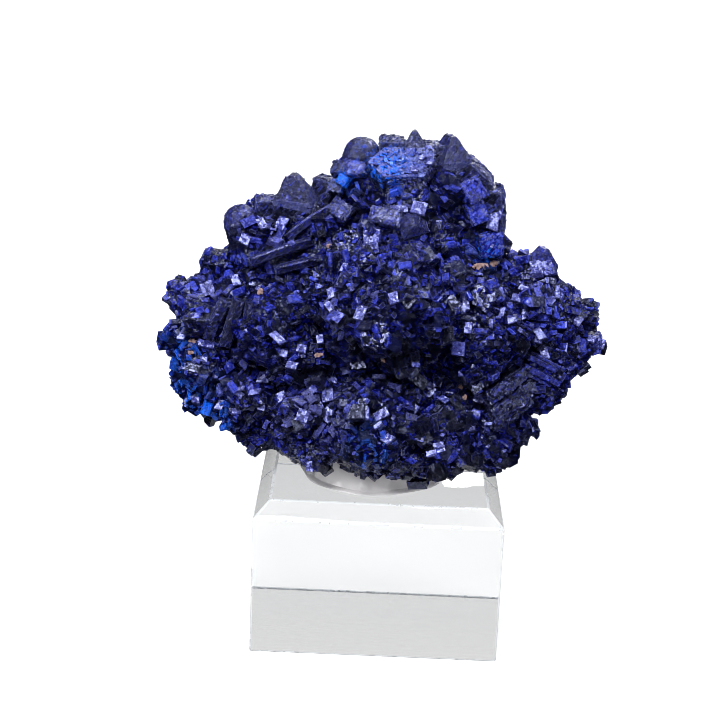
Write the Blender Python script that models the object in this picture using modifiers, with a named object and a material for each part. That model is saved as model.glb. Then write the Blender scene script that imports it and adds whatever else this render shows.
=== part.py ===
"""Azurite specimen: a rounded cluster of intergrown blue crystals, glued on a clear acrylic block.

The origin is the middle of the block's underside. +Z is up, and -Y faces the viewer.
Sizes are written in millimetres and turned into metres by MM.
"""

import math
import random

import bmesh
import bpy
from mathutils import Matrix, Vector, noise

MM = 0.001

# Clearance between pieces that touch
GAP = 0.3 * MM

# Acrylic block: a square prism with a wide bevel round its top face
BLOCK_SIDE = 32.0 * MM
BLOCK_HEIGHT = 20.4 * MM
BLOCK_TOP_BEVEL = 2.0 * MM
BLOCK_EDGE_BEVEL = 0.25 * MM

# Glue: a round puddle with a rounded rim, off centre under the cluster
GLUE_RADIUS = 10.0 * MM
GLUE_HEIGHT = 2.7 * MM
GLUE_RIM = 3.2 * MM
GLUE_RIM_STEPS = 5
GLUE_TURN_STEPS = 40
GLUE_CENTRE = (-0.9 * MM, -1.0 * MM)
GLUE_LEAST = 0.6 * MM

# Rounded lobes of the cluster, in mm: x, y, z of the centre and the radius below the crystals
LOBES = {
    "crown": (2.4, 2.0, 58.0, 6.2),
    "crown_left": (-3.2, 2.0, 58.5, 4.4),
    "crown_right": (8.5, 3.0, 56.4, 5.1),
    "neck_right": (11.2, 1.0, 51.9, 3.2),
    "brow": (1.9, -2.0, 52.2, 6.5),
    "bulge": (0.2, -8.0, 45.7, 7.7),
    "ridge_left": (-10.3, 1.0, 52.6, 4.7),
    "shoulder_left": (-15.1, 1.0, 48.9, 5.9),
    "cheek_left": (-19.6, 0.0, 42.1, 5.9),
    "top_left": (-23.5, 1.0, 41.4, 4.6),
    "tip_left": (-22.6, 0.0, 36.0, 5.9),
    "foot_left": (-24.3, 0.0, 32.0, 4.0),
    "foot_left_low": (-21.9, -1.0, 30.3, 3.5),
    "inner_left": (-13.2, -4.0, 40.7, 6.3),
    "low_left": (-17.0, -2.0, 29.1, 5.0),
    "belly_left": (-9.0, -6.8, 28.2, 5.5),
    "belly": (-1.4, -9.0, 29.0, 6.6),
    "belly_right": (6.8, -7.0, 28.0, 5.5),
    "low_right": (13.1, -4.0, 27.5, 5.5),
    "foot_right": (19.2, -2.0, 34.6, 5.2),
    "tip_right": (22.8, 0.0, 38.0, 4.4),
    "cheek_right": (20.6, -1.0, 42.6, 5.2),
    "shoulder_right": (17.6, 1.0, 46.0, 4.6),
    "inner_right": (12.1, -4.0, 40.5, 6.3),
    "back_crown": (0.5, 8.0, 53.5, 6.6),
    "back_bulge": (4.0, 8.5, 44.0, 8.0),
    "back_left": (-9.0, 8.0, 44.5, 7.2),
    "back_cheek_left": (-17.5, 6.5, 38.5, 6.4),
    "back_low_left": (-9.5, 7.0, 32.5, 7.2),
    "back_belly": (1.5, 6.0, 31.0, 7.8),
    "back_low_right": (10.5, 6.5, 34.0, 7.0),
    "back_cheek_right": (16.5, 6.0, 41.0, 5.8),
}
LOBE_DETAIL = 2

# Faces that turn less than this, in radians, are one flat face
FLAT_WITHIN = 0.004
# Corners nearer than this are one corner
SAME_CORNER = 0.002 * MM
# A direction whose level part is shorter than this counts as upright
UPRIGHT_WITHIN = 0.05

# Solid middle that joins the lobes: centre and half sizes in mm
HEART_CENTRE = (-1.0, 0.5, 40.5)
HEART_HALF = (19.0, 9.5, 16.0)

# Crystals that cover the lobes
SEED = 29
CRYSTAL_SPACING = 4.9 * MM
CRYSTAL_WIDTH = (3.6 * MM, 5.6 * MM)
CRYSTAL_FLATNESS = (0.6, 0.98)
CRYSTAL_STANDS = (0.7 * MM, 1.5 * MM)
CRYSTAL_ROOT = 2.1 * MM
CRYSTAL_TAPER = (0.7, 0.97)
CRYSTAL_SLANT = 0.3
GROUP_SIZE = 7.0 * MM
GROUP_LEAN = 0.8
OWN_LEAN = 0.28
OWN_TURN = 0.5
SPOTS_PER_SPACING = 2.2
BURIED_BY = 0.3 * MM
# The glue under the lowest crystal is at least this thick
LOWEST_CRYSTAL = BLOCK_HEIGHT + GAP + GLUE_LEAST + GAP
# Room kept free round each large crystal
LARGE_MARGIN = 0.8 * MM
# Spots in mm where the outline runs smooth, with no crystal within this distance
BARE_SPOTS = (
    (10.5, 5.6, 60.3), (4.4, 4.7, 63.2), (24.3, -1.3, 33.0), (-7.2, 3.7, 59.1),
    (-28.0, 1.5, 31.8), (21.9, -1.0, 47.6), (19.6, 3.6, 49.3), (27.0, -0.9, 37.0), (-20.1, -3.0, 25.3),
)
BARE_ROOM = 1.2 * MM

# Forms of crystals: the number of sides, then tiers from the foot up. A tier has its share of the
# length, the shares of the width and of the thickness kept at its end, and its shift along the width.
FORMS = {
    "block": (4, ((1.0, 0.84, 0.84, 0.0),)),
    "plate": (4, ((1.0, 0.9, 0.86, 0.0),)),
    "hexagon": (6, ((1.0, 0.94, 0.9, 0.0),)),
    "peak": (4, ((0.35, 0.92, 0.9, 0.0), (0.65, 0.16, 0.4, -0.06))),
    "blade": (4, ((0.6, 1.0, 1.0, 0.0), (0.25, 0.6, 0.35, 0.0))),
    "dome": (9, ((0.5, 1.0, 1.0, 0.0), (0.28, 0.8, 0.8, 0.0), (0.16, 0.66, 0.66, 0.0))),
}

# Large crystals that stand out: form, foot and direction in mm, then width, thickness and length
# in mm, and the turn in degrees
LARGE_CRYSTALS = {
    "crown_hump": ("dome", (-4.0, 0.6, 60.9), (-0.06, -0.1, 1), (4.9, 4.6, 3.8), 10),
    "crown_block": ("block", (-0.3, 1.0, 61.0), (0, -0.05, 1), (3.4, 4.0, 3.6), 4),
    "crown_peak": ("peak", (2.7, 0.8, 61.6), (0, -0.05, 1), (3.6, 3.5, 4.2), -4),
    "crown_saddle": ("block", (4.8, 1.4, 61.0), (0, -0.05, 1), (2.8, 3.6, 3.1), 10),
    "crown_peak_right": ("peak", (7.3, 1.4, 60.6), (0.02, -0.05, 1), (4.8, 4.3, 4.8), 8),
    "crown_slope": ("block", (9.6, 1.6, 59.2), (0.7, -0.1, 0.75), (5.2, 4.8, 2.6), 8),
    "crown_side": ("block", (12.0, 1.8, 55.6), (1.0, -0.1, 0.1), (5.4, 6.8, 2.4), 4),
    "crown_plate": ("hexagon", (0.9, -2.4, 61.1), (-0.04, -0.72, 0.7), (8.6, 5.3, 2.2), 3),
    "violet_block": ("block", (-4.6, -0.6, 60.6), (-0.2, -0.8, 0.55), (2.8, 2.3, 1.6), 12),
    "royal_block": ("block", (9.9, -1.2, 58.6), (0.3, -0.85, 0.43), (2.9, 3.2, 1.5), 28),
    "royal_block_low": ("block", (10.6, -1.0, 56.0), (0.3, -0.9, 0.2), (2.6, 3.0, 1.3), 20),
    "neck_block": ("block", (12.4, -0.8, 51.9), (0.35, -0.9, 0.12), (3.4, 3.2, 1.8), 4),
    "left_hump": ("dome", (-18.9, 0.0, 51.8), (-0.28, -0.12, 1), (5.0, 4.6, 3.6), 20),
    "left_block": ("block", (-16.2, 0.2, 54.0), (0.04, -0.1, 1), (3.1, 2.9, 2.4), -6),
    "left_peak": ("peak", (-12.3, -0.4, 55.2), (-0.04, -0.16, 1), (5.2, 3.7, 4.7), -4),
    "left_lump": ("block", (-8.9, 0.8, 57.0), (0.1, -0.1, 1), (2.6, 2.6, 2.2), 20),
    "dark_face": ("block", (-0.6, -6.2, 55.6), (-0.12, -0.85, 0.5), (4.4, 2.2, 1.7), -8),
    "slate_face": ("peak", (2.6, -6.8, 55.2), (0.1, -0.9, 0.4), (3.4, 3.0, 2.2), 20),
    "brown_plate": ("plate", (-6.6, -2.0, 55.4), (0.0, -0.9, 0.45), (2.7, 2.2, 2.0), -32),
    "left_blade_high": ("blade", (-14.0, -4.0, 50.2), (0.1, -0.85, 0.45), (8.2, 0.9, 2.6), 20),
    "left_blade_low": ("blade", (-11.8, -4.6, 48.8), (0.1, -0.9, 0.35), (5.6, 0.9, 2.6), 14),
    "left_blade_back": ("blade", (-10.4, -2.0, 53.6), (-0.1, -0.8, 0.6), (6.6, 0.8, 2.0), 42),
    "fan_a": ("blade", (-21.6, -5.4, 41.6), (-0.35, -1.0, 0.05), (5.6, 1.2, 2.0), 68),
    "fan_b": ("blade", (-19.8, -5.8, 41.4), (-0.1, -1.0, 0.0), (6.2, 1.2, 2.2), 74),
    "fan_c": ("blade", (-18.0, -5.8, 41.2), (0.15, -1.0, 0.0), (6.0, 1.2, 2.1), 82),
    "right_peak": ("peak", (19.6, 0.2, 48.2), (0.12, -0.15, 1), (3.4, 3.2, 3.4), 10),
    "right_tip": ("block", (25.8, -0.8, 39.0), (1.0, -0.25, 0.2), (2.8, 2.4, 2.2), 10),
    "low_blade_a": ("blade", (15.2, -6.8, 34.4), (0.3, -0.85, 0.4), (6.2, 1.2, 3.0), 30),
    "low_blade_b": ("blade", (15.8, -7.0, 32.8), (0.35, -0.85, 0.3), (6.6, 1.3, 3.0), 30),
    "low_blade_c": ("blade", (15.6, -6.6, 31.2), (0.4, -0.85, 0.2), (6.0, 1.2, 3.0), 28),
    "right_slab": ("block", (20.0, -5.0, 36.6), (0.3, -0.95, 0.1), (5.4, 2.8, 2.2), -28),
    "back_blade": ("blade", (-3.0, 13.6, 41.0), (-0.2, 1.0, 0.2), (6.4, 1.6, 3.4), 35),
    "back_block": ("block", (9.0, 12.4, 49.0), (0.35, 0.9, 0.4), (4.6, 3.6, 2.8), -20),
    "back_plate": ("plate", (-12.0, 12.4, 42.6), (-0.3, 1.0, 0.1), (4.6, 3.2, 1.8), 25),
    "back_hump": ("dome", (-18.0, 8.0, 47.0), (-0.4, 0.4, 1), (4.8, 4.4, 3.0), 0),
}

# Display colours
AZURITE_BLUE = (0.012, 0.02, 0.16)
GLUE_MILK = (0.86, 0.84, 0.86)
ACRYLIC_CLEAR = (0.93, 0.95, 0.96)
AZURITE_IOR = 1.78
ACRYLIC_IOR = 1.49


def clear_scene():
    for old in list(bpy.data.objects):
        bpy.data.objects.remove(old, do_unlink=True)


def new_collection(name):
    collection = bpy.data.collections.new(name)
    bpy.context.scene.collection.children.link(collection)
    return collection


def principled(name, colour, roughness, ior):
    """A plain material with its Principled shader."""
    material = bpy.data.materials.new(name)
    material.use_nodes = True
    material.diffuse_color = (*colour, 1.0)
    shader = material.node_tree.nodes["Principled BSDF"]
    shader.inputs["Base Color"].default_value = (*colour, 1.0)
    shader.inputs["Metallic"].default_value = 0.0
    shader.inputs["Roughness"].default_value = roughness
    shader.inputs["IOR"].default_value = ior
    return material, shader


def azurite_material():
    return principled("azurite", AZURITE_BLUE, 0.16, AZURITE_IOR)[0]


def glue_material():
    material, shader = principled("set_glue", GLUE_MILK, 0.12, ACRYLIC_IOR)
    shader.inputs["Transmission Weight"].default_value = 0.8
    return material


def acrylic_material():
    material, shader = principled("clear_acrylic", ACRYLIC_CLEAR, 0.03, ACRYLIC_IOR)
    shader.inputs["Transmission Weight"].default_value = 1.0
    return material


def add_object(name, shape, collection):
    """Turns a bmesh into an object of this collection."""
    mesh = bpy.data.meshes.new(name)
    shape.to_mesh(mesh)
    shape.free()
    made = bpy.data.objects.new(name, mesh)
    collection.objects.link(made)
    return made


def hide_as_cutter(cutter):
    cutter.hide_render = True
    cutter.display_type = "WIRE"


def acrylic_block(collection):
    """Polished square block: the wide bevel is on the top edges only, the narrow one on the rest."""
    shape = bmesh.new()
    bmesh.ops.create_cube(shape, size=1.0)
    bmesh.ops.scale(shape, vec=(BLOCK_SIDE, BLOCK_SIDE, BLOCK_HEIGHT), verts=shape.verts)
    bmesh.ops.translate(shape, vec=(0.0, 0.0, BLOCK_HEIGHT / 2), verts=shape.verts)
    top_edges = [e for e in shape.edges if all(v.co.z > BLOCK_HEIGHT / 2 for v in e.verts)]
    bmesh.ops.bevel(
        shape, geom=top_edges, offset=BLOCK_TOP_BEVEL, offset_type="OFFSET", segments=1, affect="EDGES"
    )
    block = add_object("acrylic_block", shape, collection)
    edges = block.modifiers.new("polished_edges", "BEVEL")
    edges.width = BLOCK_EDGE_BEVEL
    edges.segments = 2
    edges.limit_method = "ANGLE"
    edges.angle_limit = math.radians(30)
    block.data.materials.append(acrylic_material())
    return block


def lobe_shape(shape, centre, half_sizes):
    """Adds a coarse ball, or an egg where the half sizes differ."""
    place = Matrix.Translation(centre) @ Matrix.Diagonal((*half_sizes, 1.0))
    bmesh.ops.create_icosphere(shape, subdivisions=LOBE_DETAIL, radius=1.0, matrix=place)


def axes_along(direction, turn):
    """A rotation whose Z runs along direction, turned about it. Its X stays as level as it can."""
    z_axis = Vector(direction).normalized()
    level = Vector((0, 0, 1)).cross(z_axis)
    x_axis = level.normalized() if level.length > UPRIGHT_WITHIN else Vector((1, 0, 0))
    x_axis = (x_axis - z_axis * x_axis.dot(z_axis)).normalized()
    y_axis = z_axis.cross(x_axis)
    upright = Matrix((x_axis, y_axis, z_axis)).transposed()
    return (upright @ Matrix.Rotation(turn, 3, "Z")).to_4x4()


def unit_form(shape, sides, tiers):
    """Adds a form one unit wide. Its foot is at zero, its root at -1 and its end at 1 or below."""
    corner_radius = 0.5 / math.cos(math.pi / sides) if sides == 4 else 0.5
    bmesh.ops.create_cone(
        shape, cap_ends=True, segments=sides, radius1=corner_radius, radius2=corner_radius, depth=1.0,
        matrix=Matrix.Rotation(math.pi / sides, 4, "Z"),
    )
    top = max(shape.faces, key=lambda face: face.calc_center_median().z)
    for vert in shape.verts:
        vert.co.z = 0.0 if vert in top.verts else -1.0
    for number, (rise, keep_width, keep_thickness, shift) in enumerate(tiers):
        if number:
            extruded = bmesh.ops.extrude_face_region(shape, geom=[top])["geom"]
            bmesh.ops.delete(shape, geom=[top], context="FACES_ONLY")
            top = next(part for part in extruded if isinstance(part, bmesh.types.BMFace))
        for vert in top.verts:
            vert.co.x = vert.co.x * keep_width + shift
            vert.co.y *= keep_thickness
            vert.co.z += rise
    bmesh.ops.recalc_face_normals(shape, faces=shape.faces)


def crystal_shape(shape, form, place, size, slant, grow):
    """Adds one flat-faced crystal. It stands on its foot at place, with its root below that."""
    width, thickness, stands = size
    unit_form(shape, *form)
    for vert in shape.verts:
        x = vert.co.x * (width + 2 * grow)
        y = vert.co.y * (thickness + 2 * grow)
        z = vert.co.z * (stands + grow) if vert.co.z > 0 else vert.co.z * (CRYSTAL_ROOT + grow)
        vert.co = place @ Vector((x, y, z + slant * x))


def large_crystals():
    """Form, place, size and slant of each large crystal."""
    for form, foot, direction, size, turn in LARGE_CRYSTALS.values():
        place = Matrix.Translation(Vector(foot) * MM) @ axes_along(direction, math.radians(turn))
        yield FORMS[form], place, tuple(side * MM for side in size), 0.0


def near_large_crystal(spot, large):
    """Whether a spot is in one of the large crystals or in the room kept free round them."""
    for _, place, (width, thickness, stands), _ in large:
        own = place.inverted() @ spot
        beside = abs(own.x) < width / 2 + LARGE_MARGIN and abs(own.y) < thickness / 2 + LARGE_MARGIN
        if beside and -CRYSTAL_ROOT < own.z < stands + LARGE_MARGIN:
            return True
    return False


def lobe_spots(radius):
    """Directions spread evenly over a ball of this radius."""
    count = round(4 * math.pi * radius**2 / CRYSTAL_SPACING**2 * SPOTS_PER_SPACING)
    golden = math.pi * (3 - math.sqrt(5))
    for i in range(count):
        z = 1 - (2 * i + 1) / count
        level = math.sqrt(1 - z * z)
        yield Vector((level * math.cos(golden * i), level * math.sin(golden * i), z))


def lobes_in_metres():
    return [(Vector(lobe[:3]) * MM, lobe[3] * MM) for lobe in LOBES.values()]


def small_crystals():
    """Form, place, size and slant of each crystal that the lobes are covered with."""
    chance = random.Random(SEED)
    lobes = lobes_in_metres()
    large = list(large_crystals())
    taken = []
    for centre, radius in lobes:
        others = [lobe for lobe in lobes if lobe[0] != centre]
        for outward in lobe_spots(radius):
            spot = centre + outward * radius
            if any((spot - c).length < r - BURIED_BY for c, r in others):
                continue
            if any((spot - near).length < CRYSTAL_SPACING for near in taken):
                continue
            if near_large_crystal(spot, large):
                continue
            crystal = random_crystal(chance, spot, outward)
            if lowest_point(crystal) < LOWEST_CRYSTAL:
                continue
            taken.append(spot)
            if all((spot - Vector(bare) * MM).length > BARE_ROOM for bare in BARE_SPOTS):
                yield crystal


def random_crystal(chance, spot, outward):
    """One crystal of a group: neighbours lean and turn alike, each a little off the others."""
    group = noise.noise_vector(spot / GROUP_SIZE)
    own = Vector([chance.gauss(0, 1) for _ in range(3)])
    direction = outward + group * GROUP_LEAN + own * OWN_LEAN
    turn = math.tau * noise.noise(spot / GROUP_SIZE + outward) + chance.gauss(0, OWN_TURN)
    place = Matrix.Translation(spot) @ axes_along(direction, turn)
    width = chance.uniform(*CRYSTAL_WIDTH)
    size = (width, width * chance.uniform(*CRYSTAL_FLATNESS), chance.uniform(*CRYSTAL_STANDS))
    taper = (1.0, chance.uniform(*CRYSTAL_TAPER), chance.uniform(*CRYSTAL_TAPER), 0.0)
    return (4, (taper,)), place, size, chance.uniform(-CRYSTAL_SLANT, CRYSTAL_SLANT)


def lowest_point(crystal):
    _, place, size, slant = crystal
    corners = [
        place @ Vector((x, y, z + slant * x))
        for x in (-size[0] / 2, size[0] / 2)
        for y in (-size[1] / 2, size[1] / 2)
        for z in (-CRYSTAL_ROOT, size[2])
    ]
    return min(corner.z for corner in corners)


def cluster_bodies(grow):
    """The lobes, the solid middle and the crystals as closed shapes, each grown outwards by grow."""
    for centre, radius in lobes_in_metres():
        shape = bmesh.new()
        lobe_shape(shape, centre, (radius + grow,) * 3)
        yield shape
    shape = bmesh.new()
    lobe_shape(shape, Vector(HEART_CENTRE) * MM, [half * MM + grow for half in HEART_HALF])
    yield shape
    for crystal in (*large_crystals(), *small_crystals()):
        shape = bmesh.new()
        crystal_shape(shape, *crystal, grow)
        yield shape


def keep_outer_skin(mesh):
    """Keeps the largest connected skin, and so drops hollows that no opening reaches."""
    shape = bmesh.new()
    shape.from_mesh(mesh)
    bmesh.ops.remove_doubles(shape, verts=shape.verts, dist=SAME_CORNER)
    bmesh.ops.dissolve_degenerate(shape, edges=shape.edges, dist=SAME_CORNER)
    bmesh.ops.dissolve_limit(shape, angle_limit=FLAT_WITHIN, verts=shape.verts, edges=shape.edges)
    bmesh.ops.triangulate(shape, faces=shape.faces)
    left = set(shape.faces)
    skins = []
    while left:
        skin, waiting = set(), [next(iter(left))]
        while waiting:
            face = waiting.pop()
            if face in skin:
                continue
            skin.add(face)
            waiting += [near for edge in face.edges for near in edge.link_faces if near not in skin]
        left -= skin
        skins.append(skin)
    outer = max(skins, key=len)
    inner = [face for skin in skins if skin is not outer for face in skin]
    bmesh.ops.delete(shape, geom=inner, context="FACES")
    shape.to_mesh(mesh)
    shape.free()


def apply_modifiers(made):
    """Replaces the object's mesh by its evaluated one."""
    graph = bpy.context.evaluated_depsgraph_get()
    plain = made.data
    made.data = bpy.data.meshes.new_from_object(made.evaluated_get(graph))
    made.data.name = made.name
    made.modifiers.clear()
    bpy.data.meshes.remove(plain)


def joined_cluster(name, bodies, collection, helpers):
    """One solid from overlapping bodies, by a Boolean union of all of them."""
    others = bpy.data.collections.new(name + "_bodies")
    helpers.children.link(others)
    first, *rest = bodies
    cluster = add_object(name, first, collection)
    for number, shape in enumerate(rest):
        hide_as_cutter(add_object(f"{name}_body_{number}", shape, others))
    union = cluster.modifiers.new("grown_together", "BOOLEAN")
    union.operation = "UNION"
    union.operand_type = "COLLECTION"
    union.collection = others
    union.solver = "EXACT"
    apply_modifiers(cluster)
    for body in list(others.objects):
        bpy.data.objects.remove(body, do_unlink=True)
    bpy.data.collections.remove(others)
    keep_outer_skin(cluster.data)
    return cluster


def azurite_cluster(collection, helpers):
    """Crystals grown together on rounded lobes: one natural piece, so one solid."""
    cluster = joined_cluster("azurite_cluster", cluster_bodies(0.0), collection, helpers)
    cluster.data.materials.clear()
    cluster.data.materials.append(azurite_material())
    return cluster


def glue_puddle(collection):
    """A turned profile with a flat underside and a rounded rim."""
    shape = bmesh.new()
    top = BLOCK_HEIGHT + GAP + GLUE_HEIGHT
    bottom = BLOCK_HEIGHT + GAP
    corners = [(0.0, top)]
    for step in range(GLUE_RIM_STEPS + 1):
        angle = math.pi / 2 * (1 - step / GLUE_RIM_STEPS)
        out = GLUE_RADIUS - GLUE_RIM + GLUE_RIM * math.cos(angle)
        corners.append((out, bottom + GLUE_HEIGHT * math.sin(angle)))
    corners.append((0.0, bottom))
    verts = [shape.verts.new((x, 0.0, z)) for x, z in corners]
    for a, b in zip(verts, verts[1:]):
        shape.edges.new((a, b))
    puddle = add_object("glue_pad", shape, collection)
    turn = puddle.modifiers.new("turned", "SCREW")
    turn.angle = math.tau
    turn.steps = GLUE_TURN_STEPS
    turn.render_steps = GLUE_TURN_STEPS
    turn.use_merge_vertices = True
    turn.merge_threshold = 0.01 * MM
    apply_modifiers(puddle)
    puddle.data.transform(Matrix.Translation((*GLUE_CENTRE, 0.0)))
    return puddle


def reaches_puddle(shape):
    """Whether a body comes low enough and near enough to touch the puddle."""
    top = BLOCK_HEIGHT + GAP + GLUE_HEIGHT + GAP
    middle = Vector(GLUE_CENTRE)
    low_enough = any(vert.co.z < top for vert in shape.verts)
    near_enough = any((vert.co.xy - middle).length < GLUE_RADIUS + 2 * GAP for vert in shape.verts)
    return low_enough and near_enough


def glue_pad(collection, helpers):
    """Clear glue that the underside of the cluster has sunk into, less the room that the crystals take."""
    puddle = glue_puddle(collection)
    low_bodies = []
    for shape in cluster_bodies(GAP):
        if reaches_puddle(shape):
            low_bodies.append(shape)
        else:
            shape.free()
    room = bpy.data.collections.new("room_for_crystals")
    helpers.children.link(room)
    for number, shape in enumerate(low_bodies):
        hide_as_cutter(add_object(f"room_{number}", shape, room))
    cut = puddle.modifiers.new("room_for_crystals", "BOOLEAN")
    cut.operation = "DIFFERENCE"
    cut.operand_type = "COLLECTION"
    cut.collection = room
    cut.solver = "EXACT"
    apply_modifiers(puddle)
    for body in list(room.objects):
        bpy.data.objects.remove(body, do_unlink=True)
    bpy.data.collections.remove(room)
    keep_outer_skin(puddle.data)
    puddle.data.materials.clear()
    puddle.data.materials.append(glue_material())
    return puddle


clear_scene()
noise.seed_set(SEED)
parts = new_collection("azurite_specimen")
helpers = new_collection("helpers")
acrylic_block(parts)
azurite_cluster(parts, helpers)
glue_pad(parts, helpers)
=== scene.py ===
import itertools
import math
import random

import bmesh
import bpy
import numpy as np
from mathutils import Matrix, Vector, geometry, noise
from mathutils.bvhtree import BVHTree


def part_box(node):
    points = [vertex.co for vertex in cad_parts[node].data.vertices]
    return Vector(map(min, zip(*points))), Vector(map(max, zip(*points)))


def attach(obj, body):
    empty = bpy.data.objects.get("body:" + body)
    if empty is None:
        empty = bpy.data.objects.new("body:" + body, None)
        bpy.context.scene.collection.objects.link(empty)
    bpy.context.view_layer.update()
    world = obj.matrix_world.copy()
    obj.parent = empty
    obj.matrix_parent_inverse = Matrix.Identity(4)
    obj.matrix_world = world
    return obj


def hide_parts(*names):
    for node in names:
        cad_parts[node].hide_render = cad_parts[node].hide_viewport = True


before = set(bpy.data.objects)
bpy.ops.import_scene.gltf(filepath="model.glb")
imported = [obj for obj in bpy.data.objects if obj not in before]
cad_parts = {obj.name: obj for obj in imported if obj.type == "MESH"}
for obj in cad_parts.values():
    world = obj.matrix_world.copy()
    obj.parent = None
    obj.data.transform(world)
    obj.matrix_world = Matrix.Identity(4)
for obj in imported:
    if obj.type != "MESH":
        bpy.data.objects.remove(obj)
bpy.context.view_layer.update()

MM = 0.001

# Camera and lights. The camera stands where the photograph's edges of the block put it, 17 degrees
# above level and a little tipped. Plain soft lamps stand around the specimen, the largest above the viewer.
CAMERA_TARGET = Vector((-3.29, 0.0, 35.23)) * MM
CAMERA_DISTANCE = 247.15 * MM
CAMERA_DOWN = math.radians(16.66)
CAMERA_AROUND = math.radians(-0.32)
CAMERA_TIP = math.radians(2.36)
PHOTO_SIDE = 720
FOCAL_PIXELS = 1865.6
SENSOR = 36.0
camera_data = bpy.data.cameras.new("camera")
camera_data.sensor_width = SENSOR
camera_data.lens = FOCAL_PIXELS / PHOTO_SIDE * SENSOR
camera_data.clip_start = 0.01
camera = bpy.data.objects.new("camera", camera_data)
forward = Vector((
    math.sin(CAMERA_AROUND) * math.cos(CAMERA_DOWN),
    math.cos(CAMERA_AROUND) * math.cos(CAMERA_DOWN),
    -math.sin(CAMERA_DOWN),
))
camera_axes = forward.to_track_quat("-Z", "Y").to_matrix() @ Matrix.Rotation(CAMERA_TIP, 3, "Z")
camera.rotation_euler = camera_axes.to_euler()
camera.location = CAMERA_TARGET - forward * CAMERA_DISTANCE
bpy.context.scene.collection.objects.link(camera)
bpy.context.scene.camera = camera

LIT_SPOT = Vector((0.0, 0.0, 40.0)) * MM
KEY_PLACE = Vector((-0.10, -0.36, 0.48))
# Place, side in metres and watts
LAMPS = {
    "key_light": (KEY_PLACE, 0.27, 5.2),
    "top_light": ((0.08, 0.06, 0.62), 0.27, 2.4),
    "left_light": ((-0.50, -0.22, 0.20), 0.22, 0.9),
    "right_light": ((0.48, -0.26, 0.24), 0.22, 0.9),
    "back_light": ((0.15, 0.45, 0.35), 0.30, 1.8),
}
for name, (place, side, watts) in LAMPS.items():
    lamp = bpy.data.lights.new(name, "AREA")
    lamp.shape = "SQUARE"
    lamp.size = side
    lamp.energy = watts
    stand = bpy.data.objects.new(name, lamp)
    stand.location = place
    stand.rotation_euler = (LIT_SPOT - Vector(place)).to_track_quat("-Z", "Y").to_euler()
    bpy.context.scene.collection.objects.link(stand)


def fill(socket, value):
    """Sets a node's input. A value that is itself a socket is linked to it."""
    if isinstance(value, bpy.types.NodeSocket):
        socket.id_data.links.new(value, socket)
    else:
        socket.default_value = value


def add_node(tree, kind, *ordered, **named):
    """A shader node: its properties and inputs by name, and its first inputs in order."""
    node = tree.nodes.new("ShaderNode" + kind)
    for name, value in named.items():
        if name in node.bl_rna.properties:
            setattr(node, name, value)
        else:
            fill(node.inputs[name.replace("_", " ")], value)
    for socket, value in zip(node.inputs, ordered):
        fill(socket, value)
    return node


def map_range(tree, value, low, high, to_low=0.0, to_high=1.0):
    """Spreads the values from low to high over another range, and stops at its ends."""
    return add_node(tree, "MapRange", value, low, high, to_low, to_high).outputs["Result"]


# The room is light overhead and dark near the ground
SKY_RISE = (0.1, 0.9)
SKY_LOW, SKY_HIGH = 0.0, 0.09
WHITE = (1.0, 1.0, 1.0, 1.0)
world = bpy.data.worlds.new("studio")
bpy.context.scene.world = world
world.use_nodes = True
tree = world.node_tree
height = add_node(tree, "SeparateXYZ", add_node(tree, "TexCoord").outputs["Generated"]).outputs["Z"]
sky = tree.nodes["Background"]
sky.inputs["Color"].default_value = WHITE
fill(sky.inputs["Strength"], map_range(tree, height, *SKY_RISE, SKY_LOW, SKY_HIGH))
bpy.context.scene.view_settings.view_transform = "Standard"
# The picture is as crisp as the photograph
bpy.context.scene.cycles.filter_width = 0.75

# Acrylic block. A square of clear cast acrylic, sawn and polished, with a wide bevel cut round its top.
# It stands on its flat underside and carries the specimen. Its edges are broken by fine polishing.
block_low, block_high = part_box("acrylic_block")
BLOCK_BEVEL = 2.0 * MM
BLOCK_EDGE = 0.22 * MM
BLOCK_EDGE_STEPS = 3
SHARP_OVER = math.radians(30)
SMOOTH_UNDER = math.radians(20)
ACRYLIC_IOR = 1.49
EDGE_GREYS = (0.50, 0.53, 0.56, 1.0), (0.86, 0.89, 0.92, 1.0)


def add_cube(name, low, high):
    """A cube primitive between two corners, alone in the selection, with its size in its mesh."""
    bpy.ops.object.select_all(action="DESELECT")
    bpy.ops.mesh.primitive_cube_add(size=1.0, location=(low + high) / 2)
    piece = bpy.context.object
    piece.name = piece.data.name = name
    piece.scale = high - low
    bpy.ops.object.transform_apply(location=True, rotation=True, scale=True)
    return piece


def select_in_edit_mode(piece, kind, wanted):
    """Enters edit mode and selects the vertices, edges or faces that the test wanted takes."""
    bpy.ops.object.select_all(action="DESELECT")
    piece.select_set(True)
    bpy.context.view_layer.objects.active = piece
    bpy.ops.object.mode_set(mode="EDIT")
    bpy.ops.mesh.select_mode(type=kind)
    bpy.ops.mesh.select_all(action="DESELECT")
    shape = bmesh.from_edit_mesh(piece.data)
    for part in {"VERT": shape.verts, "EDGE": shape.edges, "FACE": shape.faces}[kind]:
        if wanted(part):
            part.select_set(True)
    bmesh.update_edit_mesh(piece.data)


def leave_edit_mode():
    bpy.ops.object.mode_set(mode="OBJECT")


def apply_modifier(piece, modifier):
    bpy.context.view_layer.objects.active = piece
    bpy.ops.object.modifier_apply(modifier=modifier.name)


def new_material(name, **finish):
    """A material with this finish on its shader, its node tree, its shader and its output."""
    material = bpy.data.materials.new(name)
    material.use_nodes = True
    tree = material.node_tree
    shader = tree.nodes["Principled BSDF"]
    for socket, value in finish.items():
        shader.inputs[socket.replace("_", " ")].default_value = value
    return material, tree, shader, tree.nodes["Material Output"]


def object_place(tree):
    return add_node(tree, "TexCoord").outputs["Object"]


def mapped(tree, place, scale):
    return add_node(tree, "Mapping", Vector=place, Scale=scale).outputs["Vector"]


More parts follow.
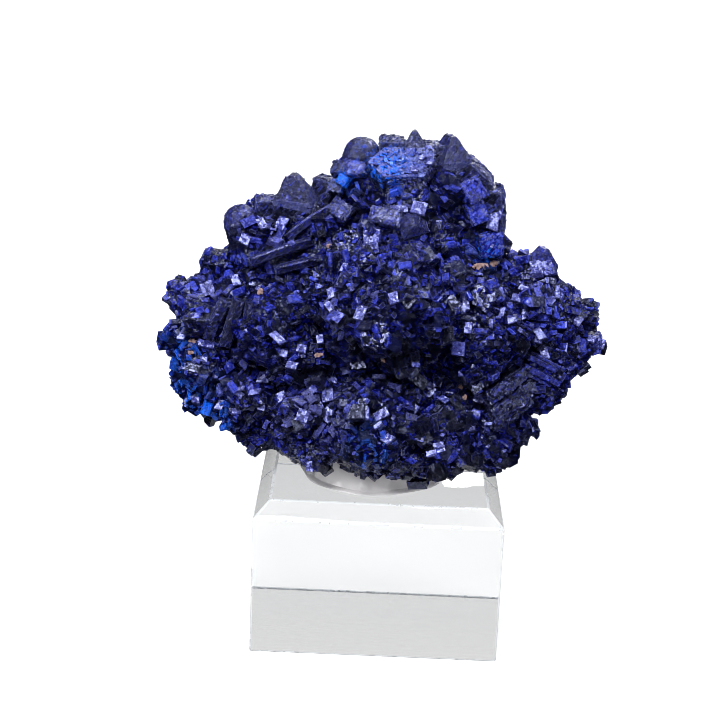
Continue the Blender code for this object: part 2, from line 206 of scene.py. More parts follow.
def cloudy(tree, place, scale, detail, roughness=0.5):
    """A cloudy pattern from 0 to 1, with its scale per metre."""
    vector = mapped(tree, place, scale)
    pattern = add_node(tree, "TexNoise", Vector=vector, Scale=1.0, Detail=detail, Roughness=roughness)
    return pattern.outputs["Fac"]


def bump(tree, height, distance, strength=1.0, normal=None):
    """The normal of a surface with this relief, on top of another relief's normal."""
    node = add_node(tree, "Bump", Strength=strength, Distance=distance, Height=height)
    if normal is not None:
        fill(node.inputs["Normal"], normal)
    return node.outputs["Normal"]


def mixed(tree, share, first, second):
    """A colour between two others."""
    return add_node(tree, "Mix", data_type="RGBA", Factor=share, A=first, B=second).outputs["Result"]


acrylic, tree, shader, output = new_material(
    "acrylic_polished", Base_Color=(0.985, 0.99, 0.995, 1.0), IOR=ACRYLIC_IOR, Transmission_Weight=1.0
)
haze = cloudy(tree, object_place(tree), (160, 160, 45), 3.0)
fill(shader.inputs["Roughness"], map_range(tree, haze, 0.45, 0.75, 0.0, 0.05))
fill(shader.inputs["Normal"], bump(tree, haze, 0.4 * MM, 0.02))
tint = add_node(tree, "VolumeAbsorption", Color=(0.9, 0.95, 1.0, 1.0), Density=3.0)
fill(output.inputs["Volume"], tint.outputs["Volume"])

# The broken edges are less well polished than the faces, and show as thin grey lines
edging, tree, shader, _ = new_material("acrylic_broken_edge", IOR=ACRYLIC_IOR, Transmission_Weight=0.55)
scuffs = cloudy(tree, object_place(tree), (900, 900, 300), 3.0)
fill(shader.inputs["Base Color"], mixed(tree, scuffs, *EDGE_GREYS))
fill(shader.inputs["Roughness"], map_range(tree, scuffs, 0.0, 1.0, 0.15, 0.45))

block = add_cube("acrylic_stand", block_low, block_high)
block.data.materials.append(acrylic)
block.data.materials.append(edging)
select_in_edit_mode(block, "EDGE", lambda edge: all(v.co.z > block_high.z - MM for v in edge.verts))
bpy.ops.mesh.bevel(offset=BLOCK_BEVEL, offset_type="OFFSET", segments=1, affect="EDGES")
leave_edit_mode()
fine_edge = block.modifiers.new("polished_edges", "BEVEL")
fine_edge.width = BLOCK_EDGE
fine_edge.segments = BLOCK_EDGE_STEPS
fine_edge.limit_method = "ANGLE"
fine_edge.angle_limit = SHARP_OVER
fine_edge.harden_normals = False
fine_edge.material = 1
apply_modifier(block, fine_edge)
bpy.ops.object.shade_smooth_by_angle(angle=SMOOTH_UNDER)
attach(block, "root")
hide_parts("acrylic_block")

# Azurite base. The specimen is one natural piece: larger crystals grown together on rounded lobes.
# The CAD solid holds them. It keeps its shape here and gets the mineral's dark, glassy finish.
AZURITE_IOR = 1.7
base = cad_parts["azurite_cluster"]
# Colours from the darkest gap to the brightest face, each with its place on the ramp
BLUES = (
    (0.00, (0.0002, 0.0003, 0.004, 1.0)),
    (0.22, (0.0007, 0.0013, 0.062, 1.0)),
    (0.45, (0.0045, 0.0072, 0.185, 1.0)),
    (0.72, (0.015, 0.024, 0.34, 1.0)),
    (1.00, (0.042, 0.062, 0.52, 1.0)),
)
# Bright cobalt: azurite's own blue, made brighter as a painted glow of light passing through thin crystals
COBALT = (0.004, 0.14, 1.0, 1.0)
GLOSS_TINT = (0.54, 0.59, 1.0, 1.0)
SLATE = (0.017, 0.018, 0.044, 1.0)
# Milky frost: pale etched faces, partly a painted glint that shows from every side
FROST_AND_GLINT = (0.12, 0.13, 0.42, 1.0)
# Paler edges are a painted highlight, the light that rounded crystal edges catch: its colour, and how far it
# reaches in from an edge
EDGE_HIGHLIGHT = (0.13, 0.15, 0.42, 1.0)
EDGE_HIGHLIGHT_WIDTH = 0.11 * MM
GRAIN_SIZE = 0.34 * MM
# Crazing is finer than the grains, and flatter
CRAZE_SIZE = 0.17 * MM
CRAZE_TILT = 0.10
CRACK_WIDTH = 0.05 * MM
FACET_TILT = 0.30
# Etched spots: how far apart they lie, the grain inside them and its height
ETCHED_SPACING = 0.60 * MM
ETCHED_GRAIN = 0.22 * MM
ETCHED_HEIGHT = 0.45 * MM
# Where a cloudy pattern passes from smooth to etched
SPOT_EDGE = (0.51, 0.57)
# The patterns' sum at the darkest blue and at the brightest
BLEND_SPAN = (0.70, 1.44)
# From where to where a crystal comes out of the shadow at its foot, and how much light is left there
FOOT_SHADE = (0.55, 0.97, 0.08)
# Slender ribs along a face: how many fit in a metre each way, and their height
RIBS = (6500, 1400, 500)
RIB_HEIGHT = 0.03 * MM


def weighted_sum(tree, *terms):
    """Adds up sockets, each times its weight."""
    total = 0.0
    for socket, weight in terms:
        total = math_node(tree, "MULTIPLY_ADD", socket, weight, total)
    return total


def math_node(tree, operation, *terms, **more):
    return add_node(tree, "Math", *terms, operation=operation, **more).outputs["Value"]


def vector_math(tree, operation, *terms, result="Vector", **more):
    return add_node(tree, "VectorMath", *terms, operation=operation, **more).outputs[result]


def attribute(tree, name, output="Fac"):
    return add_node(tree, "Attribute", attribute_name=name).outputs[output]


def grain_cells(tree, place, randomness):
    """Square-cornered cells, one for each grain."""
    kind = dict(distance="CHEBYCHEV", Scale=1.0, Randomness=randomness)
    return add_node(tree, "TexVoronoi", Vector=place, **kind).outputs


def cell_slope(tree, cells, place):
    """A height that slopes one way within each cell, which tilts the whole cell."""
    slope = vector_math(tree, "SUBTRACT", cells["Color"], (0.5, 0.5, 0.5))
    within = vector_math(tree, "SUBTRACT", place, cells["Position"])
    return vector_math(tree, "DOT_PRODUCT", slope, within, result="Value")


def edge_highlight_mask(tree):
    """1 on a crystal's edges, 0 inside its faces: the mask of the painted edge highlight. Each point knows
    its place in its own crystal.
    """
    half = attribute(tree, "half", "Vector")
    from_middle = vector_math(tree, "ABSOLUTE", attribute(tree, "unit", "Vector"))
    left_over = vector_math(tree, "SUBTRACT", half, vector_math(tree, "MULTIPLY", half, from_middle))
    sides = add_node(tree, "SeparateXYZ", left_over).outputs
    # A face has one of the three distances at zero, so the next smallest is the way to its edge
    least = math_node(tree, "MINIMUM", sides["X"], sides["Y"])
    most = math_node(tree, "MAXIMUM", sides["X"], sides["Y"])
    to_edge = math_node(tree, "MAXIMUM", least, math_node(tree, "MINIMUM", most, sides["Z"]))
    return map_range(tree, to_edge, 0.0, EDGE_HIGHLIGHT_WIDTH, 1.0, 0.0)


def azurite_relief(tree, place, cells, scaled, on_crystals):
    """The relief of a grown face, broad to fine: tilted grains, etched spots, crazing and ribs."""
    height = cell_slope(tree, cells, scaled)
    # A flashing face is mottled: rough grains in its etched spots throw the light elsewhere
    spots = map_range(tree, cloudy(tree, place, (1 / ETCHED_SPACING,) * 3, 2.0, 0.6), *SPOT_EDGE)
    etched = math_node(tree, "MULTIPLY", spots, cloudy(tree, place, (1 / ETCHED_GRAIN,) * 3, 1.0))
    if on_crystals:
        dull = attribute(tree, "dull")
        rougher = weighted_sum(tree, (dull, 0.6), (attribute(tree, "frost"), 0.35))
        height = math_node(tree, "MULTIPLY", height, math_node(tree, "ADD", rougher, 0.4))
        etched = math_node(tree, "MULTIPLY", etched, map_range(tree, dull, 0.25, 0.60, 1.0, 0.15))
    finer = mapped(tree, place, (1 / CRAZE_SIZE,) * 3)
    crazing = cell_slope(tree, grain_cells(tree, finer, 0.8), finer)
    normal = bump(tree, height, FACET_TILT * GRAIN_SIZE)
    normal = bump(tree, etched, ETCHED_HEIGHT, normal=normal)
    normal = bump(tree, crazing, CRAZE_TILT * CRAZE_SIZE, normal=normal)
    return bump(tree, cloudy(tree, place, RIBS, 2.0, 0.6), RIB_HEIGHT, normal=normal)


def crystal_colour(tree, colour, shades, cloud, speckle):
    """A crystal's colours over its blue: slate, cobalt brightened as a painted glow of light through thin
    crystals, milky frost that is partly a painted glint, and paler edges painted as a highlight.
    """
    tints = ("slate", SLATE, "Blue"), ("patch", COBALT, "Green"), ("frost", FROST_AND_GLINT, "Red")
    for trait, tint, shade in tints:
        mottled = weighted_sum(tree, (shades[shade], 0.9), (cloud, 1.1))
        share = math_node(tree, "MULTIPLY", attribute(tree, trait), mottled, use_clamp=True)
        colour = mixed(tree, share, colour, tint)
    # Painted highlight along the edges, left off the cobalt patches and strongest on dull crystals
    unpatched = map_range(tree, attribute(tree, "patch"), 0.0, 1.0, 1.0, 0.15)
    highlight_on_dull = map_range(tree, attribute(tree, "dull"), 0.5, 1.0)
    highlit = math_node(tree, "MULTIPLY", edge_highlight_mask(tree), unpatched)
    highlit = math_node(tree, "MULTIPLY", highlit, highlight_on_dull)
    uneven = weighted_sum(tree, (shades["Blue"], 0.7), (speckle, 0.4))
    return mixed(tree, math_node(tree, "MULTIPLY", highlit, uneven), colour, EDGE_HIGHLIGHT)


def azurite_material(name, on_crystals):
    """Azurite. Small cells each have their own blue and their own tilt, like the grains of a grown face."""
    material, tree, shader, _ = new_material(name, IOR=AZURITE_IOR, Specular_Tint=GLOSS_TINT)
    place = attribute(tree, "grain", "Vector") if on_crystals else object_place(tree)
    scaled = mapped(tree, place, (1 / GRAIN_SIZE,) * 3)
    cells = grain_cells(tree, scaled, 0.9)
    fill(shader.inputs["Normal"], azurite_relief(tree, place, cells, scaled, on_crystals))

    shades = add_node(tree, "SeparateColor", cells["Color"]).outputs
    cloud = cloudy(tree, object_place(tree), (300, 300, 300), 5.0, 0.65)
    speckle = cloudy(tree, object_place(tree), (3500, 3500, 3500), 2.0, 0.7)
    blend = [(shades["Red"], 0.55), (cloud, 0.4), (speckle, 0.5)]
    roughness = [(shades["Green"], 0.12), (cloud, 0.10)]
    if on_crystals:
        blend.append((attribute(tree, "tone"), 0.75))
        roughness.append((attribute(tree, "dull"), 0.20))
    fill(shader.inputs["Roughness"], weighted_sum(tree, *roughness))
    ramp = add_node(tree, "ValToRGB", map_range(tree, weighted_sum(tree, *blend), *BLEND_SPAN))
    stops = ramp.color_ramp.elements
    stops[0].position, stops[0].color = BLUES[0]
    stops[1].position, stops[1].color = BLUES[-1]
    for position, blue in BLUES[1:-1]:
        stops.new(position).color = blue
    colour = ramp.outputs["Color"]

    # Dark cracks run between the grains
    rims = add_node(tree, "TexVoronoi", scaled, feature="DISTANCE_TO_EDGE", Scale=1.0, Randomness=0.9)
    shade = map_range(tree, rims.outputs["Distance"], 0.0, CRACK_WIDTH / GRAIN_SIZE, 0.4)
    if on_crystals:
        colour = crystal_colour(tree, colour, shades, cloud, speckle)
        # Painted shade: a crystal's foot lies in the gaps, so its colour darkens towards the foot
        rise = add_node(tree, "SeparateXYZ", attribute(tree, "unit", "Vector")).outputs["Z"]
        shade = math_node(tree, "MULTIPLY", shade, map_range(tree, rise, *FOOT_SHADE))
    fill(shader.inputs["Base Color"], vector_math(tree, "SCALE", colour, Scale=shade))
    return material


base.data.materials.clear()
base.data.materials.append(azurite_material("azurite_base", False))

# Crystal shapes. Azurite grows as small flat-faced tablets and blades with broken or stepped ends.
# Each shape is modelled once, about one unit wide with its foot at zero, and then copied.
TIP = 0.5
ROOT = 0.5


def end_face(face):
    return face.normal.z > 0.6


def any_face(face):
    return True


def crystal_block(name, width, thickness, end_width, end_thickness, slant):
    """A cube with its end face narrowed and slanted. Faces stay flat."""
    corner = Vector((width / 2, thickness / 2, TIP))
    piece = add_cube(name, Vector((-corner.x, -corner.y, -ROOT)), corner)
    select_in_edit_mode(piece, "FACE", end_face)
    bpy.ops.transform.resize(value=(end_width, end_thickness, 1.0), center_override=(0, 0, TIP))
    leave_edit_mode()
    for vert in piece.data.vertices:
        vert.co.z += slant * vert.co.x
    return piece


def cut(piece, spot, normal, **more):
    """Cuts all of a piece's faces along a plane."""
    select_in_edit_mode(piece, "FACE", any_face)
    bpy.ops.mesh.bisect(plane_co=spot, plane_no=normal, **more)
    leave_edit_mode()


def raise_end(piece, shift, keep=(1.0, 1.0), centre=(0, 0, 0), wanted=end_face):
    """Lets end faces grow out and keep a share of their width and thickness about a centre."""
    select_in_edit_mode(piece, "FACE", wanted)
    bpy.ops.mesh.extrude_region_move(TRANSFORM_OT_translate={"value": shift})
    bpy.ops.transform.resize(value=(*keep, 1.0), center_override=centre)
    leave_edit_mode()


def joined(plates):
    """Makes one piece of several."""
    bpy.ops.object.select_all(action="DESELECT")
    for plate in plates:
        plate.select_set(True)
    bpy.context.view_layer.objects.active = plates[0]
    bpy.ops.object.join()
    return plates[0]


def brick():
    return crystal_block("brick", 1.0, 0.9, 0.9, 0.92, 0.15)


def slab():
    return crystal_block("slab", 1.0, 0.5, 0.94, 0.8, -0.1)


def tablet():
    piece = crystal_block("tablet", 1.0, 0.6, 0.94, 0.9, 0.12)
    select_in_edit_mode(piece, "EDGE", lambda edge: all(v.co.z > 0 for v in edge.verts))
    bpy.ops.mesh.bevel(offset=0.07, segments=1, affect="EDGES")
    leave_edit_mode()
    return piece


def hopper():
    """A tablet whose end has grown a raised rim."""
    piece = crystal_block("hopper", 1.0, 0.85, 0.95, 0.95, -0.08)
    select_in_edit_mode(piece, "FACE", end_face)
    bpy.ops.mesh.inset(thickness=0.12)
    bpy.ops.transform.translate(value=(0, 0, -0.07))
    leave_edit_mode()
    return piece


def stepped():
    """A tablet with half of its end one growth step higher."""
    piece = crystal_block("stepped", 1.0, 0.7, 0.95, 0.92, 0.1)
    cut(piece, (0.12, 0, 0), (1, 0.25, 0))
    raise_end(
        piece, (0, 0, 0.16), (0.94, 0.9), (-0.2, 0, TIP),
        lambda face: end_face(face) and face.calc_center_median().x < 0.1,
    )
    return piece


def blade():
    """A thin plate with a chisel end."""
    piece = crystal_block("blade", 1.0, 0.3, 0.8, 1.0, 0.05)
    raise_end(piece, (0, 0, 0.14), (0.8, 0.25), (0.05, 0, TIP))
    return piece


def wedge():
    """A stout crystal with a roof-shaped end."""
    piece = crystal_block("wedge", 0.9, 0.8, 1.0, 1.0, 0.0)
    raise_end(piece, (0, 0, 0.26), (0.72, 0.16), (0.1, 0, TIP))
    return piece


def plate_stack():
    """Three thin plates grown side by side, each a step lower."""
    plates = []
    for number in range(3):
        plate = crystal_block(f"plate_{number}", 1.0 - 0.12 * number, 0.2, 0.9, 0.9, 0.1)
        for vert in plate.data.vertices:
            vert.co.y += 0.24 * (number - 1)
            vert.co.x += 0.06 * number
            if vert.co.z > 0:
                vert.co.z -= 0.13 * number
        plates.append(plate)
    return joined(plates)


def bright_tablet():
    """A square-ended tablet with one low terrace, whose end faces stay parallel."""
    piece = crystal_block("bright_tablet", 1.0, 1.0, 0.96, 0.96, 0.0)
    cut(piece, (0.18, 0.1, 0), (1, 0.4, 0))
    raise_end(
        piece, (0, 0, 0.05), wanted=lambda face: end_face(face) and face.calc_center_median().x > 0.2
    )
    return piece


def shape_arrays(piece):
    """A shape's corners, faces, and places in its own crystal, from -1 to 1. Its object is then removed."""
    mesh = piece.data
    # A cut leaves the corners and faces in no fixed order, so both are sorted
    corners = [tuple(round(value, 6) for value in vert.co) for vert in mesh.vertices]
    order = sorted(range(len(corners)), key=corners.__getitem__)
    points = np.array([corners[number] for number in order])
    rank = {number: place for place, number in enumerate(order)}
    faces = []
    for face in mesh.polygons:
        ring = [rank[number] for number in face.vertices]
        first = ring.index(min(ring))
        faces.append(tuple(ring[first:] + ring[:first]))
    faces.sort()
    places = np.empty_like(points)
    for end, chosen in ((-1, points[:, 2] <= 0), (1, points[:, 2] > 0)):
        places[chosen, :2] = points[chosen, :2] / np.abs(points[chosen, :2]).max(axis=0)
        places[chosen, 2] = end
    bpy.data.objects.remove(piece)
    return points, faces, places


SMALL_SHAPES = (brick, slab, tablet, hopper, stepped, blade, wedge, plate_stack, bright_tablet)
SHAPES = {make.__name__: shape_arrays(make()) for make in SMALL_SHAPES}

# Large crystals. They stand out of the crust on the crown, the shoulders and the lower right.
# Each grew from the same mass: dark, stout, with stepped or ribbed faces.
LARGE_ROOT = 0.55


def large_cube(name, top):
    return add_cube(name, Vector((-0.5, -0.5, -LARGE_ROOT)), Vector((0.5, 0.5, top)))


def large_prism(name, sides, top, turn=0.0):
    """An upright prism as wide and as deep-rooted as the cube."""
    depth = LARGE_ROOT + top
    bpy.ops.object.select_all(action="DESELECT")
    bpy.ops.mesh.primitive_cylinder_add(
        vertices=sides, radius=0.5, depth=depth, location=(0, 0, top - depth / 2), rotation=(0, 0, turn)
    )
    piece = bpy.context.object
    piece.name = piece.data.name = name
    bpy.ops.object.transform_apply(location=True, rotation=True, scale=True)
    return piece


def end_narrowed(piece, across, along, top, *terraces):
    """Narrows the end face, and then sets each terrace in from the last by a width and a shift."""
    select_in_edit_mode(piece, "FACE", end_face)
    bpy.ops.transform.resize(value=(across, along, 1.0), center_override=(0, 0, top))
    for width, shift in terraces:
        bpy.ops.mesh.inset(thickness=width)
        bpy.ops.transform.translate(value=shift)
    leave_edit_mode()
    return piece


def chamfered(piece, width):
    """Cuts a narrow flat along every sharp edge."""
    flat = piece.modifiers.new("chamfer", "BEVEL")
    flat.width = width
    flat.segments = 1
    flat.limit_method = "ANGLE"
    flat.angle_limit = math.radians(40)
    apply_modifier(piece, flat)
    return piece


def large_block():
    """A stout block with chamfered edges and two low terraces on its end."""
    terraces = (0.09, (-0.03, 0.02, 0.05)), (0.12, (-0.04, 0.03, 0.04))
    return chamfered(end_narrowed(large_cube("large_block", 1.0), 0.84, 0.84, 1, *terraces), 0.025)


def ribbed(piece, count, depth, slope):
    """Cuts the sides into bands and lets every other edge stand out, so that they look ribbed."""
    for number in range(count):
        height = -0.1 + (number + 0.5) * 1.05 / count
        cut(piece, (0, 0, height), (slope, 0, 1))
        side = 1 + depth if number % 2 else 1 - depth
        for vert in piece.data.vertices:
            if abs(vert.co.z + slope * vert.co.x - height) < 1e-4:
                vert.co.x *= side
                vert.co.y *= side
    return piece


def large_peak():
    """A block that narrows to a short ridge, with growth lines across its sides."""
    piece = end_narrowed(large_cube("large_peak", 0.35), 0.92, 0.9, 0.35)
    raise_end(piece, (-0.06, 0, 0.65), (0.16, 0.4), (-0.06, 0, 1.0))
    return chamfered(ribbed(piece, 8, 0.014, 0.25), 0.02)


def large_dome():
    """A many-sided hump."""
    piece = large_prism("large_dome", 9, 0.5)
    select_in_edit_mode(piece, "FACE", end_face)
    for rise, keep in ((0.28, 0.8), (0.16, 0.66), (0.06, 0.5)):
        bpy.ops.mesh.extrude_region_move(TRANSFORM_OT_translate={"value": (0, 0, rise)})
        bpy.ops.transform.resize(value=(keep, keep, 1.0), center_override=(0, 0, 0))
    leave_edit_mode()
    return piece


def large_plate():
    """A broad face with a rim and low terraces inside it."""
    steps = ((0.05, -0.05), (0.08, 0.04), (0.07, -0.04), (0.06, 0.04))
    terraces = [(width, (0.012, -0.01, step)) for width, step in steps]
    return chamfered(end_narrowed(large_cube("large_plate", 1.0), 0.9, 0.86, 1, *terraces), 0.02)


def crown_plate():
    """A broad plate with six unequal sides."""
    piece = end_narrowed(large_prism("crown_plate", 6, 1.0, math.radians(30)), 0.94, 0.9, 1)
    # Its right end is broader than its left one
    for vert in piece.data.vertices:
        if vert.co.x > 0.1 and abs(vert.co.y) > 0.1:
            vert.co.x += 0.24 if vert.co.y > 0 else 0.10
    return piece


def large_blade():
    """A thin plate whose edge runs in a shallow curve to a chisel end."""
    piece = large_cube("large_blade", 0.7)
    for place in (-0.3, -0.1, 0.1, 0.3):
        cut(piece, (place, 0, 0), (1, 0, 0))
    raise_end(piece, (0, 0, 0.3), (0.94, 0.2), (0, 0.1, 1.0))
    for vert in piece.data.vertices:
        if vert.co.z > 0:
            vert.co.z -= 1.1 * vert.co.x**2
    return piece


def joined_slats(name, slats):
    """Plates in a row: each one's reach across and along, its height and the slant of its end."""
    plates = []
    for number, (left, right, front, back, height, slant) in enumerate(slats):
        low, high = Vector((left, front, -LARGE_ROOT)), Vector((right, back, height))
        plate = add_cube(f"{name}_{number}", low, high)
        for vert in plate.data.vertices:
            if vert.co.z > 0:
                vert.co.z += slant * (vert.co.x - (left + right) / 2)
        plates.append(chamfered(plate, 0.03))
    return joined(plates)


def broken_blade():
    """A blade that broke into short slats, each with its own height."""
    slats = (
        (-0.50, -0.22, -0.50, 0.05, 0.84, 0.30), (-0.46, -0.12, -0.05, 0.50, 1.00, -0.25),
        (-0.20, 0.06, -0.45, 0.10, 1.02, -0.30), (-0.10, 0.22, 0.00, 0.48, 0.80, 0.35),
        (0.04, 0.36, -0.50, 0.02, 0.88, 0.20), (0.20, 0.44, -0.06, 0.50, 1.03, -0.20),
        (0.32, 0.50, -0.40, 0.12, 0.96, -0.45),
    )
    return joined_slats("broken_blade", slats)


def slat_block():
    """A block of long slats that lie side by side like the pages of a book."""
    slats = (
        (-0.46, 0.30, -0.50, -0.30, 0.86, 0.10), (-0.50, 0.48, -0.32, -0.08, 1.00, -0.08),
        (-0.40, 0.50, -0.10, 0.16, 0.88, 0.12), (-0.50, 0.22, 0.14, 0.34, 1.02, 0.06),
        (-0.34, 0.44, 0.32, 0.50, 0.82, -0.14), (0.18, 0.50, 0.12, 0.34, 0.92, 0.20),
    )
    return joined_slats("slat_block", slats)


LARGE_MAKERS = (
    large_block, large_peak, large_dome, large_plate, crown_plate, large_blade, broken_blade, slat_block
)
LARGE_SHAPES = {make.__name__: shape_arrays(make()) for make in LARGE_MAKERS}
SHAPES.update(LARGE_SHAPES)


def dark(slate, tone, dull=0.9):
    """The look of a dull, slaty crystal."""
    return {"dull": dull, "slate": slate, "tone": tone}


CROWN_PLATE_LOOK = {"dull": 0.8, "patch": 0.15, "slate": 0.3, "frost": 0.25, "tone": 0.3}
# Form, foot and direction, then width, thickness and length in mm, the turn in degrees, and the traits
LARGE_CRYSTALS = (
    # The crown, from its left hump over the peaks to its right side
    ("large_dome", (-4.0, 0.6, 60.9), (-0.06, -0.1, 1), (4.9, 4.6, 3.8), 10, dark(0.75, 0.3)),
    ("large_block", (-0.3, 1.0, 61.0), (0, -0.05, 1), (3.4, 4.0, 3.6), 4, dark(0.9, 0.3)),
    ("large_peak", (2.7, 0.8, 61.6), (0, -0.05, 1), (3.6, 3.5, 4.2), -4, dark(0.7, 0.3)),
    ("large_block", (4.8, 1.4, 61.0), (0, -0.05, 1), (2.8, 3.6, 3.1), 10, dark(0.8, 0.2)),
    ("large_peak", (7.3, 1.4, 60.6), (0.02, -0.05, 1), (4.8, 4.3, 4.8), 8, dark(0.7, 0.3)),
    ("large_block", (9.6, 1.6, 59.2), (0.7, -0.1, 0.75), (5.2, 4.8, 2.6), 8, dark(0.7, 0.3)),
    ("large_block", (12.0, 1.8, 55.6), (1.0, -0.1, 0.1), (5.4, 6.8, 2.4), 4, dark(0.7, 0.3)),
    # The crown's broad plate and the blocks beside it, on its front
    ("crown_plate", (0.9, -2.4, 61.1), (-0.04, -0.72, 0.7), (8.6, 5.3, 2.2), 3, CROWN_PLATE_LOOK),
    ("large_block", (-4.6, -0.6, 60.6), (-0.2, -0.8, 0.55), (2.8, 2.3, 1.6), 12, dark(0.5, 0.7)),
    ("large_block", (-6.0, -1.2, 59.4), (-0.4, -0.85, 0.3), (1.4, 1.2, 1.2), -20, dict(dull=0.5, patch=1.0)),
    ("large_block", (-6.6, 0.2, 60.3), (-0.4, -0.6, 0.7), (1.9, 1.8, 1.2), 10, dark(1.0, 0.6)),
    ("large_plate", (-7.0, -0.6, 58.4), (-0.3, -0.85, 0.4), (1.6, 1.4, 1.0), -15, dark(1.0, 0.8)),
    # Blue blocks below the crown on the right
    ("large_block", (9.9, -1.2, 58.6), (0.3, -0.85, 0.43), (2.9, 3.2, 1.5), 28, dict(dull=0.8, tone=0.6)),
    ("large_block", (10.6, -1.0, 56.0), (0.3, -0.9, 0.2), (2.6, 3.0, 1.3), 20, dict(tone=0.7)),
    ("large_block", (12.4, -0.8, 51.9), (0.35, -0.9, 0.12), (3.4, 3.2, 1.8), 4, dict(tone=0.6)),
    # The left shoulder
    ("large_dome", (-18.9, 0.0, 51.8), (-0.28, -0.12, 1), (5.0, 4.6, 3.6), 20, dark(0.6, 0.4)),
    ("large_block", (-16.2, 0.2, 54.0), (0.04, -0.1, 1), (3.1, 2.9, 2.4), -6, dark(0.7, 0.4)),
    ("large_peak", (-12.3, -0.4, 55.2), (-0.04, -0.16, 1), (5.2, 3.7, 4.7), -4, dark(0.85, 0.4)),
    ("large_block", (-8.9, 0.8, 57.0), (0.1, -0.1, 1), (2.6, 2.6, 2.2), 20, dark(0.7, 0.2)),
    # Dark faces on the brow
    ("large_block", (-0.6, -6.2, 55.6), (-0.12, -0.85, 0.5), (4.4, 2.2, 1.7), -8, dark(0.6, 0.4)),
    ("large_peak", (2.6, -6.8, 55.2), (0.1, -0.9, 0.4), (3.4, 3.0, 2.2), 20, dark(0.8, 0.5)),
    ("large_plate", (-6.6, -2.0, 55.4), (0.0, -0.9, 0.45), (2.7, 2.2, 2.0), -32, dark(0.7, 0.7)),
    # Blades left of the middle, and the fan below them
    ("large_blade", (-14.0, -4.0, 50.2), (0.1, -0.85, 0.45), (8.2, 0.9, 2.6), 20, dark(0.4, 0.2)),
    ("large_blade", (-11.8, -4.6, 48.8), (0.1, -0.9, 0.35), (5.6, 0.9, 2.6), 14, dark(0.4, 0.1)),
    ("large_blade", (-10.4, -2.0, 53.6), (-0.1, -0.8, 0.6), (6.6, 0.8, 2.0), 42, dark(0.4, 0.3)),
    ("large_blade", (-21.6, -5.4, 41.6), (-0.35, -1.0, 0.05), (5.6, 1.2, 2.0), 68, dark(0.4, 0.1, 0.8)),
    ("large_blade", (-19.8, -5.8, 41.4), (-0.1, -1.0, 0.0), (6.2, 1.2, 2.2), 74, dark(0.5, 0.0, 0.8)),
    ("large_blade", (-18.0, -5.8, 41.2), (0.15, -1.0, 0.0), (6.0, 1.2, 2.1), 82, dark(0.4, 0.1, 0.8)),
    # The right shoulder and the right tip
    ("large_peak", (19.6, 0.2, 48.2), (0.12, -0.15, 1), (3.4, 3.2, 3.4), 10, dark(0.5, 0.5)),
    ("large_block", (25.8, -0.8, 39.0), (1.0, -0.25, 0.2), (2.8, 2.4, 2.2), 10, dark(0.3, 0.6)),
    # Broken blades and slats on the lower right
    ("broken_blade", (15.2, -6.8, 34.4), (0.3, -0.85, 0.4), (6.2, 1.2, 3.0), 30, dark(0.2, 0.1, 0.8)),
    ("broken_blade", (15.8, -7.0, 32.8), (0.35, -0.85, 0.3), (6.6, 1.3, 3.0), 30, dark(0.3, 0.0, 0.8)),
    ("broken_blade", (15.6, -6.6, 31.2), (0.4, -0.85, 0.2), (6.0, 1.2, 3.0), 28, dark(0.2, 0.1, 0.8)),
    ("slat_block", (20.0, -5.0, 36.6), (0.3, -0.95, 0.1), (5.4, 2.8, 2.2), -28, dark(0.3, 0.5)),
    # The back
    ("large_blade", (-3.0, 13.6, 41.0), (-0.2, 1.0, 0.2), (6.4, 1.6, 3.4), 35, dark(0.5, 0.3)),
    ("large_block", (9.0, 12.4, 49.0), (0.35, 0.9, 0.4), (4.6, 3.6, 2.8), -20, dark(0.5, 0.4)),
    ("large_plate", (-12.0, 12.4, 42.6), (-0.3, 1.0, 0.1), (4.6, 3.2, 1.8), 25, dark(0.2, 0.7)),
    ("large_dome", (-18.0, 8.0, 47.0), (-0.4, 0.4, 1), (4.8, 4.4, 3.0), 0, dark(0.6, 0.4)),
)

# Directions nearer to each other than this don't settle a turn between them
NEARLY_ALONG = 0.05


def frame_of(z_axis, x_hint):
    """A rotation whose Z runs along z_axis and whose X lies as near as it can to x_hint."""
    z_axis = z_axis.normalized()
    x_axis = x_hint - z_axis * x_hint.dot(z_axis)
    if x_axis.length < NEARLY_ALONG:
        x_axis = z_axis.orthogonal()
    x_axis = x_axis.normalized()
    return Matrix((x_axis, z_axis.cross(x_axis), z_axis)).transposed()


def axes_along(direction, turn):
    """A rotation whose Z runs along direction, turned about it. Its X stays as level as it can."""
    level = Vector((0, 0, 1)).cross(Vector(direction).normalized())
    x_hint = level.normalized() if level.length > NEARLY_ALONG else Vector((1, 0, 0))
    return frame_of(Vector(direction), x_hint) @ Matrix.Rotation(turn, 3, "Z")


# How far the finished crystals stand out of the base's plain ones
SKIN = 0.14 * MM


def large_crystals():
    for form, foot, direction, size, turn, own in LARGE_CRYSTALS:
        turned = axes_along(direction, math.radians(turn))
        width, thickness, length = (side * MM for side in size)
        yield form, Vector(foot) * MM, turned, (width + 2 * SKIN, thickness + 2 * SKIN, length + SKIN), own


def on_large_crystal(spot, margin):
    """Whether a spot of the base lies within one of the large crystals."""
    for form, foot, turned, (width, thickness, length), _ in large_crystals():
        own = turned.transposed() @ (spot - foot)
        across, along = abs(own.x) / (width / 2 + margin), abs(own.y) / (thickness / 2 + margin)
        beside = across**2 + along**2 < 1 if form == "crown_plate" else max(across, along) < 1
        if beside and -length < own.z < length + margin:
            return True
    return False


TRAITS = ("tone", "patch", "slate", "frost", "dull")


